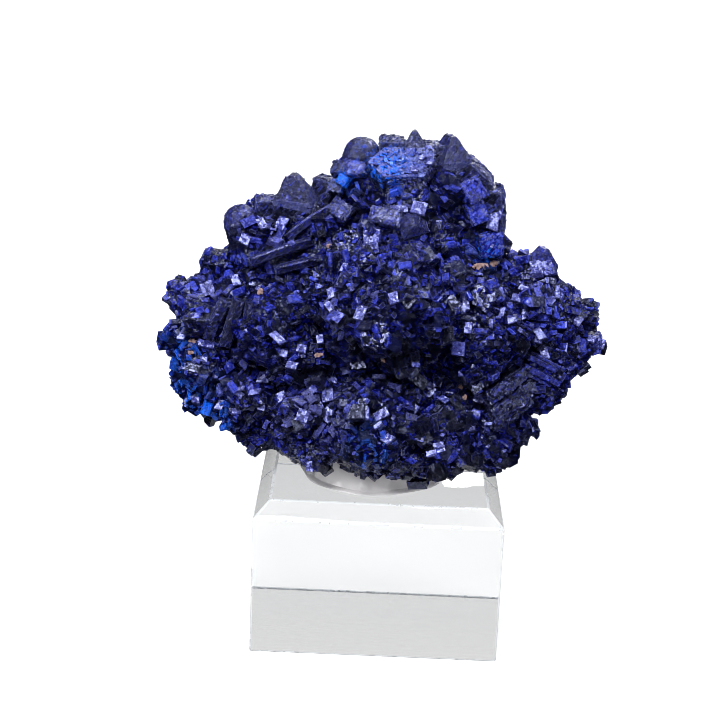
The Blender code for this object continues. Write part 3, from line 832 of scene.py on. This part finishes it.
def joined_crystals(name, crystals, material):
    """One mesh from many copies of the crystal shapes, with each copy's traits and grain stored on it."""
    points, faces, grains, places, halves = [], [], [], [], []
    traits = {trait: [] for trait in TRAITS}
    start = 0
    for shape, place, turned, size, own in crystals:
        corners, sides, own_places = SHAPES[shape]
        local = corners * np.array(size)
        points.append(local @ np.array(turned).T + np.array(place))
        faces += [tuple(start + corner for corner in side) for side in sides]
        for trait in TRAITS:
            traits[trait] += [own.get(trait, 0.0)] * len(corners)
        grains.append(local + np.array(place) * 3.0)
        places.append(own_places)
        halves.append(np.full_like(local, 0.5) * np.array(size))
        start += len(corners)
    mesh = bpy.data.meshes.new(name)
    mesh.from_pydata(np.concatenate(points), [], faces)
    for trait, values in traits.items():
        mesh.attributes.new(trait, "FLOAT", "POINT").data.foreach_set("value", values)
    for stored, values in (("grain", grains), ("unit", places), ("half", halves)):
        flat = np.concatenate(values).ravel()
        mesh.attributes.new(stored, "FLOAT_VECTOR", "POINT").data.foreach_set("vector", flat)
    mesh.materials.append(material)
    piece = bpy.data.objects.new(name, mesh)
    bpy.context.scene.collection.objects.link(piece)
    return piece


azurite = azurite_material("azurite_crystals", True)
large = joined_crystals("azurite_crystals_large", large_crystals(), azurite)
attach(large, "root")

# Crust. Small crystals cover the base between the large ones. Most lie square on the face that they
# grew from, like a mosaic, and some groups all lean one way. The gaps between them stay dark.
NOISE_SEED = 29
noise.seed_set(NOISE_SEED)

# Bright blue patches in mm, painted as the glow of light through thin crystals: centre and reach
COBALT_PATCHES = {
    "crown_plate": ((-1.2, -4.2, 62.4), 2.8),
    "crown_corner": ((-6.1, -2.0, 59.6), 1.3),
    "left_edge": ((-26.0, -3.0, 36.0), 2.2),
    "left_foot": ((-25.0, -3.0, 31.5), 2.8),
    "left_low": ((-22.0, -4.5, 28.5), 2.0),
    "belly": ((-1.5, -14.5, 28.5), 1.8),
    "neck": ((12.5, -2.0, 51.0), 1.5),
}

# Milky patches, whose paler colour is partly a painted glint
MILKY_GLINT_PATCHES = {
    "crown_plate_end": ((4.2, -4.0, 63.2), 2.4),
    "crown_plate_foot": ((2.4, -5.2, 60.9), 1.6),
    "brow": ((2.2, -6.5, 56.2), 1.8),
    "left_crest": ((-15.3, -4.0, 53.2), 1.8),
    "left_tip": ((-23.6, -3.0, 44.6), 1.4),
    "right_crest": ((20.0, -4.0, 46.4), 1.9),
    "bulge_left": ((-6.5, -12.0, 45.0), 2.2),
    "belly_row": ((-8.0, -12.0, 31.5), 3.4),
    "back": ((6.0, 15.0, 46.0), 3.0),
    "back_left": ((-14.0, 13.0, 36.0), 2.6),
}
# A patch's strength varies from crystal to crystal
PATCH_STRENGTH = (0.5, 1.7)
# The lowest crystals stand in the glue
LOWEST_SPOT = block_high.z + 0.7 * MM
# Triangles that turn less than this belong to one flat face of the base
SAME_FACE = math.radians(2)
SAME_CORNER = 0.002 * MM


def base_faces():
    """Triangles of the base: corners, area, normal, and the direction of their flat face's longest edge."""
    shape = bmesh.new()
    shape.from_mesh(base.data)
    bmesh.ops.remove_doubles(shape, verts=shape.verts, dist=SAME_CORNER)
    seen = set()
    found = []
    for start in shape.faces:
        if start in seen:
            continue
        flat, border, waiting = [], [], [start]
        while waiting:
            face = waiting.pop()
            if face in seen:
                continue
            seen.add(face)
            flat.append(face)
            for edge in face.edges:
                for near in edge.link_faces:
                    if near is face:
                        continue
                    if near.normal.angle(start.normal, math.pi) < SAME_FACE:
                        waiting.append(near)
                    else:
                        border.append(edge)
        if not border:
            continue
        longest = max(border, key=lambda edge: edge.calc_length())
        along = (longest.verts[1].co - longest.verts[0].co).normalized()
        for face in flat:
            corners = [v.co.copy() for v in face.verts]
            found.append((corners, face.calc_area(), start.normal.copy(), along))
    shape.free()
    return found


faces_of_base = base_faces()
surface = BVHTree.FromPolygons(
    [v.co.copy() for v in base.data.vertices], [tuple(face.vertices) for face in base.data.polygons]
)


def seen_at(across, down):
    """The spot of the base that the photograph shows at a pixel, and the surface's normal there."""
    ray = Vector((across - PHOTO_SIDE / 2, PHOTO_SIDE / 2 - down, -FOCAL_PIXELS)).normalized()
    hit, normal, _, _ = surface.ray_cast(camera.location, camera_axes @ ray)
    return hit, normal


# Deep hollows, painted darker as shade: pixel across and down, and reach in mm
HOLLOWS = (
    (400, 352, 2.2), (430, 355, 2.6), (458, 352, 1.8), (454, 220, 1.3), (308, 320, 2.0), (285, 322, 1.6),
    (462, 400, 2.4), (448, 415, 1.8), (510, 412, 1.8), (352, 352, 1.4), (468, 330, 1.6), (486, 268, 1.4),
)
HOLLOW_SPOTS = [(seen_at(across, down)[0], reach) for across, down, reach in HOLLOWS]


def hollow_at(spot):
    """How deep in one of the hollows a spot lies, from 0 to 1."""
    return max(math.exp(-((spot - centre).length / (reach * MM)) ** 2) for centre, reach in HOLLOW_SPOTS)


TRIES_PER_SPOT = 4


def spots_on_base(spacing, chance):
    """Spots thrown on the base at random, no nearer to each other than a spacing."""
    areas = [area for _, area, _, _ in faces_of_base]
    tries = round(sum(areas) / spacing**2 * TRIES_PER_SPOT)
    taken = {}
    for corners, _, normal, along in chance.choices(faces_of_base, weights=areas, k=tries):
        a, b = chance.random(), chance.random()
        if a + b > 1:
            a, b = 1 - a, 1 - b
        spot = corners[0] + (corners[1] - corners[0]) * a + (corners[2] - corners[0]) * b
        if spot.z < LOWEST_SPOT:
            continue
        cell = tuple(math.floor(value / spacing) for value in spot)
        around = itertools.product(*((value - 1, value, value + 1) for value in cell))
        near = itertools.chain.from_iterable(taken.get(key, ()) for key in around)
        if any((spot - other).length < spacing for other in near):
            continue
        taken.setdefault(cell, []).append(spot)
        yield spot, normal, along


def patch_at(patches, spot, chance):
    """How strong the nearest of these patches is at a spot, from 0 to 1."""
    most = 0.0
    for centre, reach in patches.values():
        distance = (spot - Vector(centre) * MM).length / (reach * MM)
        most = max(most, math.exp(-distance**2))
    return min(1.0, most * chance.uniform(*PATCH_STRENGTH))


SKEW = 0.2


def own_turn(chance, lean, turn):
    """A small random rotation, and a skew that makes the end face a rhomb."""
    tilt_x = Matrix.Rotation(chance.gauss(0, lean), 3, "X")
    tilt_y = Matrix.Rotation(chance.gauss(0, lean), 3, "Y")
    skew = Matrix(((1, chance.gauss(0, SKEW), 0), (0, 1, 0), (0, 0, 1)))
    return tilt_x @ tilt_y @ Matrix.Rotation(chance.gauss(0, turn), 3, "Z") @ skew


# Painted light: tone gained with each mm above the bulge's middle, as if lit from above, and with each mm
# beside it
BULGE_HEIGHT, TONE_UP = 46, 0.012
BULGE_SIDE, TONE_OUT = 8, 0.010


def zone_tone(spot):
    """Painted light: the crown, lit as from above, and both ends get a lighter blue than the bulge and the
    underside.
    """
    return TONE_UP * (spot.z / MM - BULGE_HEIGHT) + TONE_OUT * (abs(spot.x) / MM - BULGE_SIDE)


CLUMP = 3 * MM
MOST_FROST_AND_GLINT = 0.6
# The share of milky crystals, paler partly as a painted glint, in the heart of a clump, and everywhere
CLUMP_SHARE, LONE_SHARE = 0.16, 0.03


def frost_at(spot, chance):
    """How milky a crystal is; its paler colour is partly a painted glint. Milky ones come in clumps."""
    clump = noise.noise(spot / CLUMP) + 0.15
    milky_glinting = chance.random() < CLUMP_SHARE * max(0.0, clump) + LONE_SHARE
    lone = chance.uniform(0.3, 1.0) if milky_glinting else 0.0
    return MOST_FROST_AND_GLINT * max(lone, patch_at(MILKY_GLINT_PATCHES, spot, chance))


GROUP = 4.5 * MM
# How far an orderly group and a wild group lean, and the lean and turn of each crystal in radians
ORDERLY_LEAN, WILD_LEAN, WILD_TURN = 0.12, 0.65, 1.5
OWN_LEAN, OWN_TURN = 0.24, 0.35
# A crystal's foot lies this share of its width below the surface
FOOT_DEPTH = 0.4
# Crystals stand lower on the underside and on the smooth side
UNDER_CUT = 0.7
SMOOTH_STAND = 0.2
# The crust keeps clear of the large crystals and near the base's box
CLEARANCE = 0.25 * MM
PAST_BOX = 0.6 * MM
# No crystal of the crust stands further out of the base than this
MOST_OUT = 0.75 * MM
# The back of the crown's right slope is smooth: centre and reach in mm
SMOOTH_SIDE = ((12.5, 4.5, 58.5), 6.0)


def on_smooth_side(spot):
    centre, reach = SMOOTH_SIDE
    return spot.y > 1.5 * MM and (spot - Vector(centre) * MM).length < reach * MM


DULLNESS = (0.3, 1.0)


def grow(spacing, widths, heights, kinds, seed, wild):
    """Crystals over the base. The share wild of the groups all lean one way."""
    chance = random.Random(seed)
    low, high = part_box("azurite_cluster")
    for spot, normal, along in spots_on_base(spacing, chance):
        warped = spot + noise.noise_vector(spot / GROUP) * 2 * MM
        group = noise.cell_vector(warped / GROUP) * 2 - Vector((1, 1, 1))
        smooth = on_smooth_side(spot)
        leans = (group.x + 1) / 2 < wild and not smooth
        facing = normal + group * (WILD_LEAN if leans else ORDERLY_LEAN)
        sideways = along + group * (WILD_TURN if leans else 0.0)
        turned = frame_of(facing, sideways) @ own_turn(chance, OWN_LEAN, OWN_TURN)
        width = chance.uniform(*widths)
        under = max(0.0, -normal.z)
        stands = chance.uniform(*heights) * (SMOOTH_STAND if smooth else 1 - UNDER_CUT * under)
        size = (width, width * chance.uniform(0.6, 1.0), 2 * (stands + FOOT_DEPTH * width))
        direction = turned.col[2]
        place = spot - direction * FOOT_DEPTH * width
        tip = place + direction * size[2] / 2
        if any(tip[i] < low[i] - PAST_BOX or tip[i] > high[i] + PAST_BOX for i in range(3)):
            continue
        if (tip - surface.find_nearest(tip)[0]).length > MOST_OUT:
            continue
        if on_large_crystal(spot, CLEARANCE):
            continue
        tone = chance.betavariate(1.3, 2.0) + 0.25 * group.y + zone_tone(spot)
        hollow = hollow_at(spot)
        # Painted shade: the underside and the hollows get a lower tone and no milky glint, and the underside
        # gets slate mixed in
        own = {
            "tone": tone - (0.4 * under + 0.9 * hollow),
            "slate": 0.6 * under,
            "patch": patch_at(COBALT_PATCHES, spot, chance),
            "frost": frost_at(spot, chance) * (1 - under) * (1 - hollow),
            "dull": chance.uniform(*DULLNESS),
        }
        yield chance.choice(kinds), place, turned, size, own


CHUNKY = ("tablet", "hopper", "stepped", "wedge", "tablet", "plate_stack")
coarse = grow(1.55 * MM, (1.1 * MM, 2.1 * MM), (0.1 * MM, 0.55 * MM), CHUNKY, seed=5, wild=0.35)
crust = joined_crystals("azurite_crust", coarse, azurite)
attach(crust, "root")

# Fine crust. Smaller crystals of the same growth fill the room between those of the crust.
# They lie lower, with plain ends, and hide the base.
PLAIN = ("brick", "brick", "slab")
fine = grow(0.95 * MM, (0.6 * MM, 1.25 * MM), (0.0 * MM, 0.32 * MM), PLAIN, seed=7, wild=0.3)
fine_crust = joined_crystals("azurite_crust_fine", fine, azurite)
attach(fine_crust, "root")

# Growth steps. The large crystals' faces aren't plain: thin tablets and slats grew on them,
# square with the face that carries them. On the crown's broad plate they are small and glittering.
# Spacing, width in mm, thickness as a share of it, rise in mm, lean and turn
STEP_KINDS = {
    "crown_plate": (0.34, (0.25, 0.85), (0.4, 1.0), (0.0, 0.20), 0.26, 1.0),
    "large_plate": (0.50, (0.4, 1.0), (0.5, 1.0), (0.02, 0.16), 0.09, 0.3),
    "large_block": (0.55, (0.5, 1.2), (0.4, 0.9), (0.0, 0.14), 0.08, 0.1),
    "large_peak": (0.60, (0.6, 1.8), (0.15, 0.5), (0.0, 0.08), 0.04, 0.04),
    "large_dome": (0.60, (0.5, 1.0), (0.4, 0.9), (0.0, 0.05), 0.05, 0.3),
    "large_blade": (0.60, (1.0, 2.6), (0.10, 0.25), (0.0, 0.08), 0.04, 0.03),
    "broken_blade": (0.55, (0.5, 1.5), (0.25, 0.6), (0.0, 0.30), 0.16, 0.14),
    "slat_block": (0.60, (0.8, 2.0), (0.15, 0.35), (0.0, 0.10), 0.06, 0.05),
}
STEP_ROOT = 0.15 * MM
LEAST_STEP = 0.3 * MM
GLITTER_SHARE = 1.2
OVERHANG = 0.3 * MM
STEP_TONES = 0.35
SUNK = 0.05 * MM


def face_spots(outline, spacing, chance):
    """Spots on a flat face, no nearer to each other than a spacing, each with its way to the edge."""
    middle = sum(outline, Vector()) / len(outline)
    edges = list(zip(outline, outline[1:] + outline[:1]))
    areas = [(a - middle).cross(b - middle).length / 2 for a, b in edges]
    if sum(areas) < LEAST_STEP**2:
        return
    taken = []
    tries = math.ceil(sum(areas) / spacing**2 * 3)
    for a, b in chance.choices(edges, weights=areas, k=tries):
        spot = middle + (a.lerp(b, chance.random()) - middle) * math.sqrt(chance.random())
        if all((spot - other).length > spacing for other in taken):
            taken.append(spot)
            yield spot, min((geometry.intersect_point_line(spot, *edge)[0] - spot).length for edge in edges)


def in_base(spot):
    nearest, normal, _, _ = surface.find_nearest(spot)
    return (spot - nearest).dot(normal) < -SUNK


def bright_direction(spot):
    """Halfway between the viewer and the lamp, which is how a face that flashes lies."""
    return ((camera.location - spot).normalized() + (KEY_PLACE - spot).normalized()).normalized()


def growth_steps():
    chance = random.Random(17)
    for form, foot, turned, size, own in large_crystals():
        spacing, widths, shares, rises, lean, turn = STEP_KINDS[form]
        corners, sides, _ = SHAPES[form]
        placed = [foot + turned @ Vector(corner * np.array(size)) for corner in corners]
        for side in sides:
            outline = [placed[corner] for corner in side]
            normal = geometry.normal(outline)
            edges = [b - a for a, b in zip(outline, outline[1:] + outline[:1])]
            along = max(edges, key=lambda edge: edge.length)
            for spot, room in face_spots(outline, spacing * MM, chance):
                over = 0.0 if form == "crown_plate" else OVERHANG
                width = min(chance.uniform(*widths) * MM, 2.2 * room + over)
                if width < LEAST_STEP or (spot - foot).dot(turned.col[2]) < 0 or in_base(spot):
                    continue
                # Milky frost, partly a painted glint
                frost = frost_at(spot, chance)
                glitters = form == "crown_plate" and chance.random() < GLITTER_SHARE * frost
                facing = bright_direction(spot) if glitters else normal
                step = frame_of(facing, along) @ own_turn(chance, lean, turn)
                thickness = width * chance.uniform(*shares)
                reach = (width, thickness, 2 * (chance.uniform(*rises) * MM + STEP_ROOT))
                traits = {
                    "tone": own.get("tone", 0.5) + chance.gauss(0, STEP_TONES),
                    "slate": own.get("slate", 0.0) * chance.uniform(0.4, 1.1),
                    "patch": patch_at(COBALT_PATCHES, spot, chance),
                    "frost": frost,
                    "dull": 0.1 if glitters else max(chance.uniform(*DULLNESS), own.get("slate", 0.0)),
                }
                yield chance.choice(PLAIN), spot - step.col[2] * STEP_ROOT, step, reach, traits


steps = joined_crystals("azurite_growth_steps", growth_steps(), azurite)
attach(steps, "root")

# Bright faces. Clean, glassy tablets that the lamp catches, most of them low on the front.
# They are azurite too, grown last, and stand a little proud of the crust.
# Pixel across and down, width and height in mm, turn in degrees
BRIGHT_FACES = (
    (495, 219, 1.8, 3.4, 8), (543, 270, 3.0, 2.2, -12),
    (400, 211, 2.2, 0.9, -4), (419, 210, 1.9, 1.6, 8), (426, 394, 2.0, 2.3, 28), (412, 411, 1.2, 1.3, 15),
    (459, 349, 1.5, 1.9, 10), (469, 329, 0.9, 1.3, 8), (466, 305, 0.8, 1.6, -12), (521, 357, 0.9, 2.6, 4),
    (436, 453, 2.4, 0.7, -25), (278, 339, 1.1, 1.8, -24), (265, 379, 1.4, 1.5, -4), (312, 391, 1.0, 0.9, 32),
    (328, 398, 1.3, 1.6, -20), (282, 399, 1.0, 1.6, -30), (303, 416, 1.8, 1.7, 12), (328, 417, 1.6, 1.5, 25),
    (365, 415, 1.4, 1.7, -14), (382, 415, 1.7, 1.2, -34), (302, 350, 1.1, 1.1, 10), (321, 341, 0.8, 0.9, 0),
    (221, 406, 0.9, 1.2, 20), (237, 413, 1.2, 0.7, -10), (256, 393, 1.4, 0.7, -14), (206, 346, 2.2, 0.9, 4),
    (208, 289, 1.4, 1.6, -24), (236, 282, 0.9, 1.4, -4), (337, 318, 1.0, 1.4, 30), (361, 314, 1.3, 1.9, 12),
    (262, 226, 1.1, 1.5, -26), (282, 224, 1.4, 1.6, 30), (246, 241, 1.5, 1.1, 35), (540, 335, 0.9, 1.5, -18),
    (577, 322, 1.1, 1.3, 24), (517, 300, 1.3, 0.9, 20), (565, 350, 0.8, 1.4, -10), (393, 300, 1.0, 1.4, -20),
    (431, 152, 0.8, 0.9, 10), (423, 159, 0.5, 0.7, 30), (431, 165, 0.6, 0.5, 0), (415, 172, 0.9, 0.5, 8),
    (388, 440, 1.2, 1.2, 10), (470, 430, 1.4, 1.0, -14), (398, 350, 0.9, 1.0, 0), (600, 345, 1.2, 1.4, 12),
    (284, 354, 0.9, 1.0, 20), (331, 295, 0.9, 1.2, -30), (330, 309, 0.8, 1.1, -35), (292, 366, 1.3, 0.8, 15),
    (242, 390, 0.8, 0.5, -10), (261, 409, 1.0, 0.7, 12), (196, 402, 1.2, 0.8, 10), (215, 377, 0.8, 1.0, 5),
    (334, 382, 0.9, 0.7, 24), (182, 337, 0.9, 0.8, 0), (204, 361, 0.9, 0.6, 8), (259, 289, 0.6, 0.9, 30),
    (291, 244, 0.9, 0.6, -20), (345, 269, 0.7, 1.0, 5), (465, 297, 1.2, 1.1, 0), (463, 311, 0.6, 1.4, -14),
    (524, 291, 1.3, 0.7, 10), (525, 315, 0.9, 1.4, -16), (539, 341, 0.8, 0.8, 5), (544, 354, 1.0, 1.7, -14),
    (491, 326, 0.5, 1.0, 10), (502, 314, 0.7, 1.0, 0), (512, 322, 1.0, 0.7, -30), (462, 376, 0.8, 0.6, 5),
    (557, 294, 0.5, 1.8, -6), (505, 294, 0.9, 0.7, 40), (480, 400, 1.2, 1.0, 5), (592, 340, 0.9, 0.9, 25),
    (349, 410, 0.8, 1.1, 0), (379, 427, 1.3, 0.6, -25), (432, 386, 1.0, 0.6, 25), (417, 366, 0.9, 0.6, 5),
    (444, 402, 0.7, 1.2, -35), (439, 447, 1.4, 0.7, -10), (310, 467, 0.9, 1.2, 5), (395, 419, 0.5, 0.6, 20),
    (341, 337, 0.8, 1.0, -10), (360, 322, 0.8, 0.6, 0), (515, 410, 2.6, 0.4, -28), (492, 426, 1.8, 0.4, -6),
)
BRIGHT_STANDS = (0.6, 0.95)
# Two long crystals side by side stand out further
LONG_FACES = ((369, 246, 1.0, 3.2, -4), (378, 247, 1.1, 3.0, -6))
LONG_STANDS = (1.6, 1.8)
BRIGHT_ROOT = 0.7
# Each face is broken into bits about this wide, in mm
BIT = 1.5
BIT_SIZE = (0.9, 1.2)
BIT_LEAN, BIT_TURN = 0.04, 0.12
FACE_LEAN = 0.05


def drawn(chance, **ranges):
    """Each trait's own value between its limits."""
    return {trait: chance.uniform(*limits) for trait, limits in ranges.items()}


def scattered(chance, spread):
    return Vector([chance.gauss(0, spread) for _ in range(3)])


def bright_faces(faces, stands, seed):
    """Each bright face is a few broken plates that lie almost in one plane."""
    chance = random.Random(seed)
    for across, down, width, height, turn in faces:
        hit, normal = seen_at(across, down)
        if hit is None:
            continue
        direction = (bright_direction(hit) + scattered(chance, FACE_LEAN)).normalized()
        face = axes_along(direction, math.radians(-turn))
        columns, rows = max(1, round(width / BIT)), max(1, round(height / BIT))
        for column, row in itertools.product(range(columns), range(rows)):
            x = ((column + 0.5) / columns - 0.5) * width
            y = ((row + 0.5) / rows - 0.5) * height
            size = (
                width / columns * chance.uniform(*BIT_SIZE) * MM,
                height / rows * chance.uniform(*BIT_SIZE) * MM,
                2 * (chance.uniform(*stands) + BRIGHT_ROOT) * MM,
            )
            turned = face @ own_turn(chance, BIT_LEAN, BIT_TURN)
            # Their milky frost is partly a painted glint
            traits = drawn(chance, tone=(0.1, 0.9), dull=(0.05, 0.3), frost=(0.3, 1.2))
            place = hit + face @ Vector((x, y, -BRIGHT_ROOT)) * MM
            yield "bright_tablet", place, turned, size, traits


# Glitter: the smallest tablets, more of them low down and at both ends
GLITTER_SPACING = 1.5 * MM
GLITTER = (0.25, 0.65)
GLITTER_STANDS = (0.5, 1.0)
GLITTER_LEAN, GLITTER_TURN = 0.12, 1.5
# The share of spots that glitter at one height in mm, and what is lost with each mm above it
GLITTER_HEIGHT, GLITTER_MOST, GLITTER_LOSS = 30, 0.75, 0.02


def glitter():
    chance = random.Random(21)
    for spot, normal, along in spots_on_base(GLITTER_SPACING, chance):
        share = GLITTER_MOST - GLITTER_LOSS * (spot.z / MM - GLITTER_HEIGHT) - hollow_at(spot)
        if chance.random() > share or normal.z < -0.5:
            continue
        in_front = normal.y < 0.2
        facing = bright_direction(spot) if in_front else normal
        face = frame_of(facing, along) @ own_turn(chance, GLITTER_LEAN, GLITTER_TURN)
        width = chance.uniform(*GLITTER) * MM
        stands = chance.uniform(*GLITTER_STANDS) * (1.0 if in_front else 0.5)
        size = (width, width * chance.uniform(0.3, 1.0), 2 * stands * MM)
        # Their milky frost is partly a painted glint
        traits = drawn(chance, tone=(0.1, 0.9), dull=(0.0, 0.4), frost=(0.0, 0.8))
        yield "brick", spot, face, size, traits


flashing = bright_faces(BRIGHT_FACES, BRIGHT_STANDS, 12)
long_pair = bright_faces(LONG_FACES, LONG_STANDS, 13)
bright = joined_crystals("azurite_bright_tablets", itertools.chain(flashing, long_pair, glitter()), azurite)
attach(bright, "root")

# Matrix. Crumbs of the pinkish, sandy rock that the azurite grew on still show in the deepest gaps.
# They are loose-grained and dull, and the crystals hold them.
ROCK_DARK, ROCK_PALE = (0.05, 0.025, 0.028, 1.0), (0.48, 0.32, 0.29, 1.0)
sandstone, tree, shader, _ = new_material("sandy_matrix")
grit = cloudy(tree, object_place(tree), (2500, 2500, 2500), 4.0)
fill(shader.inputs["Base Color"], mixed(tree, grit, ROCK_DARK, ROCK_PALE))
fill(shader.inputs["Normal"], bump(tree, grit, 0.1 * MM))
fill(shader.inputs["Roughness"], map_range(tree, grit, 0.0, 1.0, 0.6, 0.95))


def rock_crumb():
    """An angular lump: a cube with its corners cut."""
    piece = add_cube("rock_crumb", Vector((-0.5, -0.5, -0.5)), Vector((0.5, 0.5, 0.5)))
    for corner in ((1, 0.8, 0.6), (-0.7, 1, -0.5), (-1, -0.6, 0.8), (0.5, -1, 0.3), (0.2, 0.5, 1)):
        outward = Vector(corner).normalized()
        cut(piece, outward * 0.44, outward, clear_outer=True, use_fill=True)
    return piece


SHAPES["rock_crumb"] = shape_arrays(rock_crumb())
# Pixel across and down, width and height of the patch of crumbs in mm, and how many crumbs it has
CRUMB_PATCHES = (
    (480, 267, 2.2, 0.6, 40), (492, 265, 1.8, 0.5, 24), (510, 250, 0.7, 0.5, 8), (330, 247, 0.6, 0.4, 6),
    (262, 293, 0.4, 0.9, 9), (318, 354, 0.9, 0.4, 10), (328, 358, 0.5, 0.4, 6), (385, 360, 0.5, 0.3, 6),
    (460, 385, 0.4, 0.6, 7), (463, 398, 0.4, 0.7, 8), (190, 353, 0.5, 0.5, 8), (195, 341, 1.4, 0.2, 10),
)
# The same kind of crumbs at the back: spots in mm that the nearest part of the base carries
BACK_CRUMBS = ((-6.0, 14.0, 50.0), (14.0, 12.0, 38.0), (-20.0, 10.0, 36.0), (4.0, 15.0, 33.0))
BACK_COUNT = 8
BACK_SPREAD = 0.5
CRUMB = (0.18, 0.45)
CRUMB_OUT = (0.2 * MM, 0.5 * MM)


def on_base(spot, chance):
    """The place on the base nearest to a spot, with part of the crumb standing out."""
    hit, normal, _, _ = surface.find_nearest(spot)
    return hit + normal * chance.uniform(*CRUMB_OUT)


def rock_crumbs():
    chance = random.Random(8)
    for across, down, width, height, count in CRUMB_PATCHES:
        hit, normal = seen_at(across, down)
        if hit is None:
            continue
        upwards = Vector((0, 0, 1))
        side = normal.cross(upwards).normalized()
        for _ in range(count):
            aside = side * chance.uniform(-0.5, 0.5) * width + upwards * chance.uniform(-0.5, 0.5) * height
            yield on_base(hit + aside * MM, chance), chance
    for spot in BACK_CRUMBS:
        for _ in range(BACK_COUNT):
            yield on_base((Vector(spot) + scattered(chance, BACK_SPREAD)) * MM, chance), chance


def crumb_copies():
    for spot, chance in rock_crumbs():
        size = [chance.uniform(*CRUMB) * MM for _ in range(3)]
        turned = Matrix.Rotation(chance.uniform(0, math.tau), 3, scattered(chance, 1))
        yield "rock_crumb", spot, turned, size, {}


crumbs_of_rock = joined_crystals("matrix_crumbs", crumb_copies(), sandstone)
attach(crumbs_of_rock, "root")

# Set glue. A puddle of clear glue, a little milky, that the underside of the specimen has sunk into.
# It was poured on the block and set with a rounded rim.
glue_low, glue_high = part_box("glue_pad")
glue_middle = (glue_low + glue_high) / 2
GLUE_FOOT = block_high.z - 0.02 * MM
# The mound ends at this share of the puddle's reach, and a thin rippled film goes on to its rim
GLUE_MOUND = 0.88
GLUE_FILM = 0.10
glue, tree, shader, _ = new_material(
    "glue_milky", Base_Color=(0.98, 0.96, 0.98, 1.0), IOR=ACRYLIC_IOR, Transmission_Weight=0.42
)
bubbles = cloudy(tree, object_place(tree), (350, 350, 350), 2.0)
fill(shader.inputs["Roughness"], map_range(tree, bubbles, 0.0, 1.0, 0.04, 0.16))
fill(shader.inputs["Normal"], bump(tree, bubbles, 0.4 * MM, 0.5))

bpy.ops.object.select_all(action="DESELECT")
bpy.ops.mesh.primitive_uv_sphere_add(segments=96, ring_count=48, radius=1.0, location=(0, 0, 0))
puddle = bpy.context.object
puddle.name = puddle.data.name = "set_glue"
# The ball's lower half is pressed flat on the block, its upper half is drawn out over it
# Its rim is a little wavy, and rings of ripples run through the thin film
for vert in puddle.data.vertices:
    flat = min(1.0, vert.co.xy.length)
    angle = math.atan2(vert.co.y, vert.co.x)
    wave = 1 + 0.03 * math.sin(3 * angle + 0.6) + 0.02 * math.sin(7 * angle)
    mound = math.sqrt(max(0.0, 1 - (flat / GLUE_MOUND) ** 4))
    ripple = 1 + 0.25 * math.sin(24 * flat + 3 * math.sin(2 * angle))
    height = max(mound, GLUE_FILM * ripple * math.sqrt(max(0.0, 1 - flat**8)))
    vert.co = Vector((
        glue_middle.x + vert.co.x * (glue_high.x - glue_low.x) / 2 * wave,
        glue_middle.y + vert.co.y * (glue_high.y - glue_low.y) / 2 * wave,
        GLUE_FOOT + (height if vert.co.z > 0.001 else 0.0) * (glue_high.z - GLUE_FOOT),
    ))
bpy.ops.object.shade_smooth_by_angle(angle=math.radians(50))
puddle.data.materials.append(glue)
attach(puddle, "root")
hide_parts("glue_pad")

# Floor. A plain pale sheet that the block stands on.
FLOOR_HALF = 3.0
FLOOR_GREY = (0.5, 0.5, 0.5, 1.0)
bpy.ops.object.select_all(action="DESELECT")
bpy.ops.mesh.primitive_plane_add(size=2 * FLOOR_HALF, location=(0, 0, 0))
floor = bpy.context.object
floor.name = "studio_floor"
pale, tree, shader, output = new_material(
    "pale_floor", Base_Color=FLOOR_GREY, Emission_Color=WHITE, Roughness=0.6, Specular_IOR_Level=0.1
)
# Near the specimen the lamps light the floor, and further off it is made as bright
distance = vector_math(tree, "LENGTH", object_place(tree), result="Value")
fill(shader.inputs["Emission Strength"], map_range(tree, distance, 0.05, 0.45, 0.44, 0.92))
# Only the acrylic mirrors the floor: the crystals' faces mirror a dark room below them
seen_by = add_node(tree, "LightPath").outputs
in_acrylic = math_node(tree, "LESS_THAN", seen_by["Transmission Depth"], 0.5)
mirrored = math_node(tree, "MULTIPLY", seen_by["Is Glossy Ray"], in_acrylic)
unlit = add_node(tree, "Emission", Strength=0.0).outputs["Emission"]
shown = add_node(tree, "MixShader", mirrored, shader.outputs["BSDF"], unlit)
fill(output.inputs["Surface"], shown.outputs["Shader"])
floor.data.materials.append(pale)
